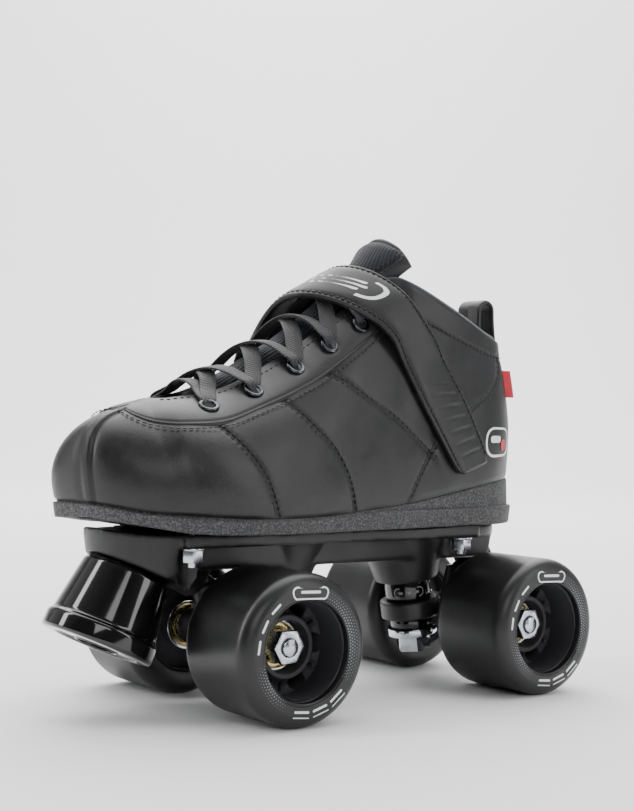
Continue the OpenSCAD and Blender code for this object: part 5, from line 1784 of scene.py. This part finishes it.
@dataclass
class Wheel:
    """One wheel: a printed urethane tyre on a spoked nylon hub with two shielded bearings."""

    end: End
    side: Side
    radius: float = 31.0
    width: float = 45.0
    inset: float = 21.0
    shoulder: float = 6.0
    window: float = 20.5
    bearing_r: float = 11.0

    def __post_init__(self) -> None:
        """Works out the wheel's short name, its body and its axis."""
        self.code = ("f" if self.end is End.FRONT else "r") + ("l" if self.side is Side.OUTER else "r")
        self.body = f"wheel_{self.code}"
        self.axis = np.array([0.0, float(self.side.value), 0.0])
        self.hub_at = np.array([self.end.value * AXLE_X, self.side.value * self.inset, AXLE_Z])

    def face(self, r: Array) -> Array:
        """Gives the height of the tyre's outer face over its inner face, at a radius."""
        over = np.clip(r - (self.radius - self.shoulder), 0, self.shoulder)
        return self.width - self.shoulder + np.sqrt(self.shoulder**2 - over**2)

    def tyre(self) -> None:
        """Turns the tyre: a flat tread, two round shoulders and a bead round the hub's window."""
        w, s, r, q = self.width, self.shoulder, self.radius, self.window
        a = np.linspace(0, np.pi / 2, 13)
        low = np.stack([r - s + s * np.sin(a), s - s * np.cos(a)], 1)
        high = np.stack([r - s + s * np.cos(a), w - s + s * np.sin(a)], 1)
        bead = np.array([[q + 1.8, w], [q + 1.5, w + 0.0], [q + 1.25, w - 0.35], [q + 0.9, w - 0.35],
                         [q + 0.6, w - 0.1], [q + 0.15, w - 0.3], [q, w - 0.9], [q, w - 3.0],
                         [q - 0.3, w - 3.2], [q - 0.3, 1.2], [q + 0.3, 0.3], [q + 1.0, 0.0]])
        tread = np.stack([np.full(9, r), np.linspace(s, w - s, 11)[1:-1]], 1)
        outline = np.concatenate([low, tread, high, bead])
        points, faces = revolve(outline, self.hub_at, self.axis, 160)
        piece = make_piece(f"tyre_{self.code}_urethane", points, faces, Stock.TYRE, edge=50)
        place_piece(piece, self.body, "tyre_urethane", [f"tyre_{self.code}"])

    def onto_face(self, start: float) -> Callable[[Array], Array]:
        """Gives a function that wraps flat shapes round the tyre's face, from an angle in degrees."""

        def onto(flat: Array) -> Array:
            r = 24.0 + flat[:, 1]
            turn = np.radians(start) - self.side.value * flat[:, 0] / 24.0
            y = self.face(r) + 0.06
            out = np.stack([np.cos(turn), 0 * turn, np.sin(turn)], 1) * r[:, None]
            return self.hub_at + out + self.axis * y[:, None]

        return onto

    def print_ring(self) -> None:
        """Prints the face: arcs of dots that grow and shrink, a plain framed dash, and rows of dashes."""
        white, grey = [], []
        plate = filled(box_outline(0, 0, 18, 5.4, 2.6, 8), box_outline(0, 0, 16.6, 4.0, 1.9, 8), 2)
        dash = filled(box_outline(0, 0, 10.0, 1.1, 0.5, 4), rings=2)
        white += [(plate, 92), (dash, 92)]
        white += [(filled(box_outline(0, 0, 7.4, 1.0, 0.5, 5), rings=2), turn) for turn in (232, 254, 276)]
        white += [(filled(box_outline(0, 2.3, 7.4, 0.5, 0.2, 4), rings=1), turn) for turn in (232, 254, 276)]
        white += [(filled(box_outline(0, 0, 5.6, 1.0, 0.5, 5), rings=2), turn) for turn in (8, 28, 48)]
        for k in range(30):
            for row in range(5):
                size = 1.0 * (1 - 0.16 * row) * (0.5 + 0.5 * np.sin(np.pi * k / 29))
                spot = filled(box_outline(0.65 * (row % 2), -2.4 + row * 1.15, size, size, size * 0.45, 3),
                    rings=1)
                grey.append((spot, 116 + k * 3.3))
        for k in range(16):
            for row in range(4):
                size = 0.95 * (1 - 0.2 * row) * (0.5 + 0.5 * np.sin(np.pi * k / 15))
                spot = filled(box_outline(0.65 * (row % 2), -2.4 + row * 1.15, size, size, size * 0.45, 3),
                    rings=1)
                grey.append((spot, 300 + k * 3.3))
        for name, shapes, ink in (("white", white, Stock.WHITE_INK), ("grey", grey, Stock.GREY_INK)):
            points, faces = gather([(self.onto_face(turn)(p), f) for (p, f), turn in shapes])
            piece = make_piece(f"tyre_{self.code}_print_{name}", points, faces, ink, closed=False,
                facing=self.axis)
            place_piece(piece, self.body, "tyre_urethane")

    def hub(self) -> None:
        """Builds the hub as a height over a round plane.

        From the bearing's boss the web slopes down to the rim as a straight line. Six rounded
        windows and six narrow slots between them drop away steeply, where a distance to a rounded
        shape passes zero.
        """
        r = np.concatenate([np.linspace(self.bearing_r, 12.9, 9), np.linspace(12.9, 19.6, 46)[1:]])[None, :]
        a = np.linspace(0, 2 * np.pi, 540, endpoint=False)[:, None]
        boss, rim = 30.0, 29.0
        web = mix(boss, rim, smooth(12.9, 19.6, r)) - 2.2 * np.sin(np.pi * np.clip((r - 12.9) / 6.7, 0, 1))
        front = np.where(r < 13.2, boss + 1.2, web) - 1.2 * smooth(12.7, 13.5, r) * (r >= 12.7)
        pitch = np.pi / 3
        local = (a + pitch / 2) % pitch - pitch / 2
        x, y = r * np.cos(local) - 16.6, r * np.sin(local)
        window = np.hypot(np.maximum(np.abs(x) - 0.7, 0), np.maximum(np.abs(y) - 1.9, 0) * 1.0) - 2.1
        other = (a + pitch) % pitch - pitch / 2
        x2, y2 = r * np.cos(other) - 16.4, r * np.sin(other)
        slot = np.hypot(np.maximum(np.abs(x2) - 1.6, 0), y2) - 0.62
        ridge = 0.7 * np.exp(-((np.abs(y2) - 1.5) / 0.55) ** 2) * smooth(13.4, 14.2, r)
        front = front + ridge - 11.0 * (1 - smooth(-0.55, 0.1, window)) - 5.0 * (1 - smooth(-0.35, 0.1, slot))
        back = np.full_like(front, 8.0)
        around = np.stack([np.cos(a), 0 * a, np.sin(a)], 2)
        top = self.hub_at + around * r[..., None] + self.axis * front[..., None]
        low = self.hub_at + around * r[..., None] + self.axis * back[..., None]
        count = r.shape[1]
        grid = np.concatenate([top, low[:, ::-1]], 1)
        faces = grid_faces(len(a), 2 * count, wrap_rows=True, wrap_cols=True)
        piece = make_piece(f"hub_{self.code}_spokes", grid, faces, Stock.HUB, edge=38)
        place_piece(piece, self.body, "hub_nylon", [f"hub_{self.code}"])
        q = self.window
        sleeve = rounded([[q - 0.9, 1.6, 0.2], [q - 0.35, 1.6, 0.2], [q - 0.35, 41.6, 0.2],
            [q - 0.9, 42.2, 0.3]], 4)
        rim_piece = make_piece(f"hub_{self.code}_rim", *revolve(sleeve, self.hub_at, self.axis, 120),
            Stock.HUB)
        place_piece(rim_piece, self.body, "hub_nylon")
        back_web = rounded([[9.5, 6.4, 0.4], [19.6, 7.0, 0.4], [19.6, 9.4, 0.4], [12.2, 8.8, 0.6],
            [12.2, 9.4, 0.3], [9.5, 9.4, 0.3]], 4)
        disc = make_piece(f"hub_{self.code}_back", *revolve(back_web, self.hub_at, self.axis, 96), Stock.HUB)
        place_piece(disc, self.body, "hub_nylon")

    def bearings(self) -> None:
        """Gives each bearing its ring, a pressed shield with a step, and its balls."""
        low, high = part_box(f"outer_races_{self.code}")
        inner_face = (low.y if self.side is Side.OUTER else -high.y) / MM - self.inset
        outer_face = (high.y if self.side is Side.OUTER else -low.y) / MM - self.inset
        ring = rounded([[9.6, 0.0, 0.2], [10.9, 0.0, 0.35], [10.9, 7.0, 0.35], [9.6, 7.0, 0.2],
            [9.5, 6.5, 0.1], [9.5, 0.5, 0.1]], 4)
        shield = rounded([[6.6, 0.75, 0.1], [7.4, 0.75, 0.15], [7.7, 0.45, 0.15], [9.45, 0.45, 0.1],
                          [9.45, 0.75, 0.1], [7.9, 0.8, 0.15], [7.6, 1.05, 0.15], [6.6, 1.05, 0.1]], 3)
        other = shield * [1, -1] + [0, 7.0]
        rings, shields = [], []
        for y in (inner_face, outer_face - 7.0):
            at = self.hub_at + self.axis * y
            rings.append(revolve(ring, at, self.axis, 72))
            shields += [revolve(shield, at, self.axis, 72), revolve(other, at, self.axis, 72)]
        for name, parts, finish in (("outer_races", rings, Stock.RACE), ("shields", shields, Stock.GOLD)):
            piece = make_piece(f"{name}_{self.code}_turned", *gather(parts), finish, edge=35)
            place_piece(piece, self.body, "bearing_gold" if name == "shields" else "bearing_steel",
                [f"{name}_{self.code}"])
        bpy.data.objects[f"balls_{self.code}"].data.materials.clear()
        bpy.data.objects[f"balls_{self.code}"].data.materials.append(Stock.RACE.make())

    def build(self) -> None:
        """Builds the whole wheel."""
        self.tyre()
        self.print_ring()
        self.hub()
        self.bearings()


@dataclass
class Truck:
    """One truck: a cast hanger on two cushions, round a leaning kingpin, with its axle and nuts."""

    end: End
    voxel: float = 0.6
    lean: float = 10.0
    ring_at: tuple[float, float, float] = (-26.4, 0.0, 4.0)
    ring_h: float = 8.5

    def __post_init__(self) -> None:
        """Works out the truck's name, its body and its kingpin's axis."""
        self.name = self.end.name.lower()
        self.body = f"{self.name}_truck"
        lean = np.radians(self.lean)
        way = float(self.end.value)
        self.up = np.array([-way * np.sin(lean), 0.0, np.cos(lean)])
        self.ring = np.array([way * (AXLE_X + self.ring_at[0]), 0.0, AXLE_Z + self.ring_at[2]])

    def hanger(self) -> None:
        """Rebuilds the hanger on an even grid, so that its arms meet in cast fillets."""
        piece = merged_copy(f"{self.name}_hanger", Stock.TRUCK, voxel=self.voxel, passes=9)
        piece.name = f"{self.name}_hanger_casting"
        place_piece(piece, self.body, "truck_metal", [f"{self.name}_hanger"])

    def cushions(self) -> None:
        """Turns the two cushions, each with round edges and a slight barrel."""
        half = self.ring_h / 2
        upper = rounded([[4.9, half + 0.02, 0.2], [10.6, half + 0.02, 0.9], [11.1, half + 2.4, 1.5],
            [10.9, half + 7, 1.5],
                         [10.3, half + 9.4, 0.9], [4.9, half + 9.4, 0.2]], 6)
        lower = rounded([[4.9, -half - 0.02, 0.2], [10.0, -half - 0.02, 0.8], [10.4, -half - 2.4, 1.2],
            [9.6, -half - 7.3, 0.8],
                         [4.9, -half - 7.4, 0.2]], 6)
        for name, outline in (("upper", upper), ("lower", lower)):
            piece = make_piece(
                f"{self.name}_{name}_cushion_turned", *revolve(outline, self.ring, self.up, 96),
                    Stock.CUSHION, edge=45
            )
            place_piece(piece, Body.BOOT, "cushion_urethane", [f"{self.name}_{name}_cushion"])
        self.label()

    def label(self) -> None:
        """Prints a plain framed plate on the upper cushion's outer side."""
        facing = unit(np.array([0.62, 0.78, 0.0]))
        side = np.cross(self.up, facing)

        def onto(flat: Array) -> Array:
            turn = flat[:, 0] / 11.1
            out = np.cos(turn)[:, None] * unit(np.cross(side, self.up)) + np.sin(turn)[:, None] * side
            return self.ring + out * 11.18 + (self.ring_h / 2 + 4.7 + flat[:, 1])[:, None] * self.up

        frame = filled(box_outline(0, 0, 15, 4.8, 2.0, 8), box_outline(0, 0, 13.8, 3.6, 1.5, 8), 2)
        bars = [filled(box_outline(x, 0, 2.2, 1.3, 0.5, 4), rings=2) for x in (-4.0, 0, 4.0)]
        points, faces = printed([frame, *bars], onto)
        piece = make_piece(f"{self.name}_cushion_print", points, faces, Stock.GREY_INK, closed=False,
            facing=facing)
        place_piece(piece, Body.BOOT, "cushion_urethane")

    def axle(self) -> None:
        """Turns the axle with a rolled thread at each end: a triangle wave that winds round it."""
        low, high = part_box(f"{self.name}_axle")
        reach = (high.y - low.y) / 2 / MM
        at = np.array([self.end.value * AXLE_X, 0.0, AXLE_Z])
        y = np.concatenate([
            [-reach, -reach], np.linspace(-reach + 0.4, -reach + 13, 110),
                np.linspace(-reach + 13.5, reach - 13.5, 12),
            np.linspace(reach - 13, reach - 0.4, 110), [reach, reach]])
        r = np.full(len(y), 3.96)
        r[[0, -1]], r[[1, -2]] = 0.0, 3.3
        profile = np.stack([r, y], 1)

        def thread(angle: Array, height: Array) -> Array:
            turn = height / 1.25 - angle / (2 * np.pi)
            tooth = np.abs((turn % 1) - 0.5) * 2
            far = np.abs(height)
            return -0.42 * tooth * smooth(reach - 13.2, reach - 12.4,
                far) * (1 - smooth(reach - 0.5, reach, far))

        angle = 48
        points, _ = revolve(profile, at, np.array([0, 1.0, 0]), angle, thread)
        faces = grid_faces(angle, len(y), wrap_rows=True)
        piece = make_piece(f"{self.name}_axle_threaded", points, faces, Stock.ZINC, edge=50)
        place_piece(piece, self.body, "zinc_steel", [f"{self.name}_axle"])
        for node in ("axle_nuts", "inner_races", "spacers"):
            part = merged_copy(f"{self.name}_{node}", Stock.ZINC if node == "axle_nuts" else Stock.RACE,
                bevel=0.4 if node == "axle_nuts" else 0.2)
            place_piece(part, self.body, "zinc_steel" if node == "axle_nuts" else "bearing_steel",
                [f"{self.name}_{node}"])

    def build(self) -> None:
        """Builds the whole truck."""
        self.hanger()
        self.cushions()
        self.axle()


@dataclass
class Kingpins:
    """The two kingpins with their inserts, cup washers and pivot cups, which both trucks share."""

    def build(self) -> None:
        """Softens each part's edges and plates it."""
        for node, finish, slot, bevel in (
            ("kingpins", Stock.CHROME, "chrome_steel", 0.5),
                ("cup_washers", Stock.CHROME, "chrome_steel", 0.3),
            ("kingpin_inserts", Stock.BRASS, "brass", 0.3), ("pivot_cups", Stock.CUP, "nylon", 0.3),
        ):
            place_piece(merged_copy(node, finish, bevel=bevel), Body.BOOT, slot, [node])
        for node in ("lasting_board", "heel_counter"):
            data = bpy.data.objects[node].data
            data.materials.clear()
            data.materials.append(Stock.BOARD.make())


# ---------------------------------------------------------------- the studio


@dataclass
class Studio:
    """A pale sweep of floor, soft lamps and the camera."""

    eye: tuple[float, float, float] = (0.388906, 0.513087, 0.120381)
    yaw: float = -2.2292
    pitch: float = 0.0143
    roll: float = 0.0223
    lens: float = 63.22
    bright: float = 0.95
    dim: float = 0.12

    def camera(self) -> None:
        """Sets up the camera from its heading, rise and roll."""
        ahead = np.array([np.cos(self.pitch) * np.cos(self.yaw), np.cos(self.pitch) * np.sin(self.yaw),
            np.sin(self.pitch)])
        right = unit(np.cross(ahead, UP))
        up = np.cross(right, ahead)
        x = right * np.cos(self.roll) + up * np.sin(self.roll)
        y = -right * np.sin(self.roll) + up * np.cos(self.roll)
        data = bpy.data.cameras.new("camera")
        data.lens, data.sensor_width, data.sensor_fit = self.lens, 36.0, "AUTO"
        data.clip_start, data.clip_end = 0.01, 50
        camera = bpy.data.objects.new("camera", data)
        bpy.context.scene.collection.objects.link(camera)
        pose = np.eye(4)
        pose[:3, 0], pose[:3, 1], pose[:3, 2], pose[:3, 3] = x, y, -ahead, self.eye
        camera.matrix_world = Matrix(pose.tolist())
        bpy.context.scene.camera = camera

    def lamp(self, name: str, at: Sequence[float], aim: Sequence[float], size: tuple[float, float],
        power: float) -> None:
        """Hangs one soft rectangular lamp, in the part's frame and in metres."""
        data = bpy.data.lights.new(name, "AREA")
        data.shape, data.size, data.size_y, data.energy = "RECTANGLE", size[0], size[1], power
        lamp = bpy.data.objects.new(name, data)
        bpy.context.scene.collection.objects.link(lamp)
        ahead = unit(np.array(aim, float) - np.array(at, float))
        right = unit(np.cross(ahead, UP)) if abs(ahead[2]) < 0.99 else np.array([1.0, 0, 0])
        pose = np.eye(4)
        pose[:3, 0], pose[:3, 1], pose[:3, 2], pose[:3, 3] = right, np.cross(right, ahead), -ahead, at
        lamp.matrix_world = Matrix(pose.tolist())

    def sweep(self) -> None:
        """Builds the floor: flat under the skate, then a quarter circle up to a far wall."""
        ahead = np.array([np.cos(self.yaw), np.sin(self.yaw), 0])
        right = np.cross(ahead, UP)
        a = np.linspace(0, np.pi / 2, 40)
        out = np.concatenate([np.linspace(-4, 2.0, 8), 2.0 + 1.2 * np.sin(a[1:]), [3.2, 3.2]])
        up = np.concatenate([np.zeros(8), 1.2 - 1.2 * np.cos(a[1:]), [3.0, 6.0]])
        wide = np.linspace(-6, 6, 3)
        grid = ahead * out[:, None, None] + UP * up[:, None, None] + right * wide[None, :, None]
        points = (grid / MM + [frame_shift(), 0, 0]).reshape(-1, 3)
        floor = make_piece("floor", points, grid_faces(len(out), 3),
            Finish("studio_paper", "#f1f1f1", 0.85), closed=False, facing=UP)

    def build(self) -> None:
        """Builds the studio."""
        self.camera()
        self.sweep()
        world = bpy.data.worlds.new("studio")
        bpy.context.scene.world = world
        world.use_nodes = True
        tree = world.node_tree
        back = tree.nodes["Background"]
        back.inputs["Color"].default_value = linear("#f4f5f7")
        toward = tree.nodes.new("ShaderNodeVectorMath")
        toward.operation = "DOT_PRODUCT"
        toward.inputs[1].default_value = (-0.6, -0.75, 0.28)
        fade = tree.nodes.new("ShaderNodeMapRange")
        for name, value in (("From Min", -0.5), ("From Max", 0.7), ("To Min", self.dim),
            ("To Max", self.bright)):
            fade.inputs[name].default_value = value
        tree.links.new(tree.nodes.new("ShaderNodeTexCoord").outputs["Generated"], toward.inputs[0])
        tree.links.new(toward.outputs["Value"], fade.inputs["Value"])
        tree.links.new(fade.outputs["Result"], back.inputs["Strength"])
        self.lamp("overhead", (-0.35, -0.45, 1.6), (0, 0, 0.0), (2.2, 2.2), 58)
        self.lamp("wall_wash", (-0.9, -1.3, 2.4), (-2.0, -2.7, 0.9), (2.5, 1.0), 150)
        self.lamp("left_strip", (1.05, -0.45, 0.7), (0.05, 0, 0.1), (0.22, 1.2), 9)
        self.lamp("right_strip", (-0.7, 1.1, 0.6), (0, 0, 0.1), (0.4, 1.2), 6)
        self.lamp("front_fill", (0.9, 1.9, 1.1), (0, 0, 0.08), (1.3, 0.8), 12)


def main() -> None:
    """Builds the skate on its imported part, and the studio round it."""
    logging.basicConfig(level=logging.INFO, format="%(name)s: %(message)s")
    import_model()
    studio = Studio()
    studio.build()
    boot = Boot()
    boot.build()
    Tongue().build()
    Laces(boot).build()
    Strap(boot).build()
    HeelTrim(boot).build()
    Sole(boot.last).build()
    Plate().build()
    ToeStop().build()
    Kingpins().build()
    for end in End:
        Truck(end).build()
        for side in Side:
            Wheel(end, side).build()


if __name__ == "__main__":
    main()
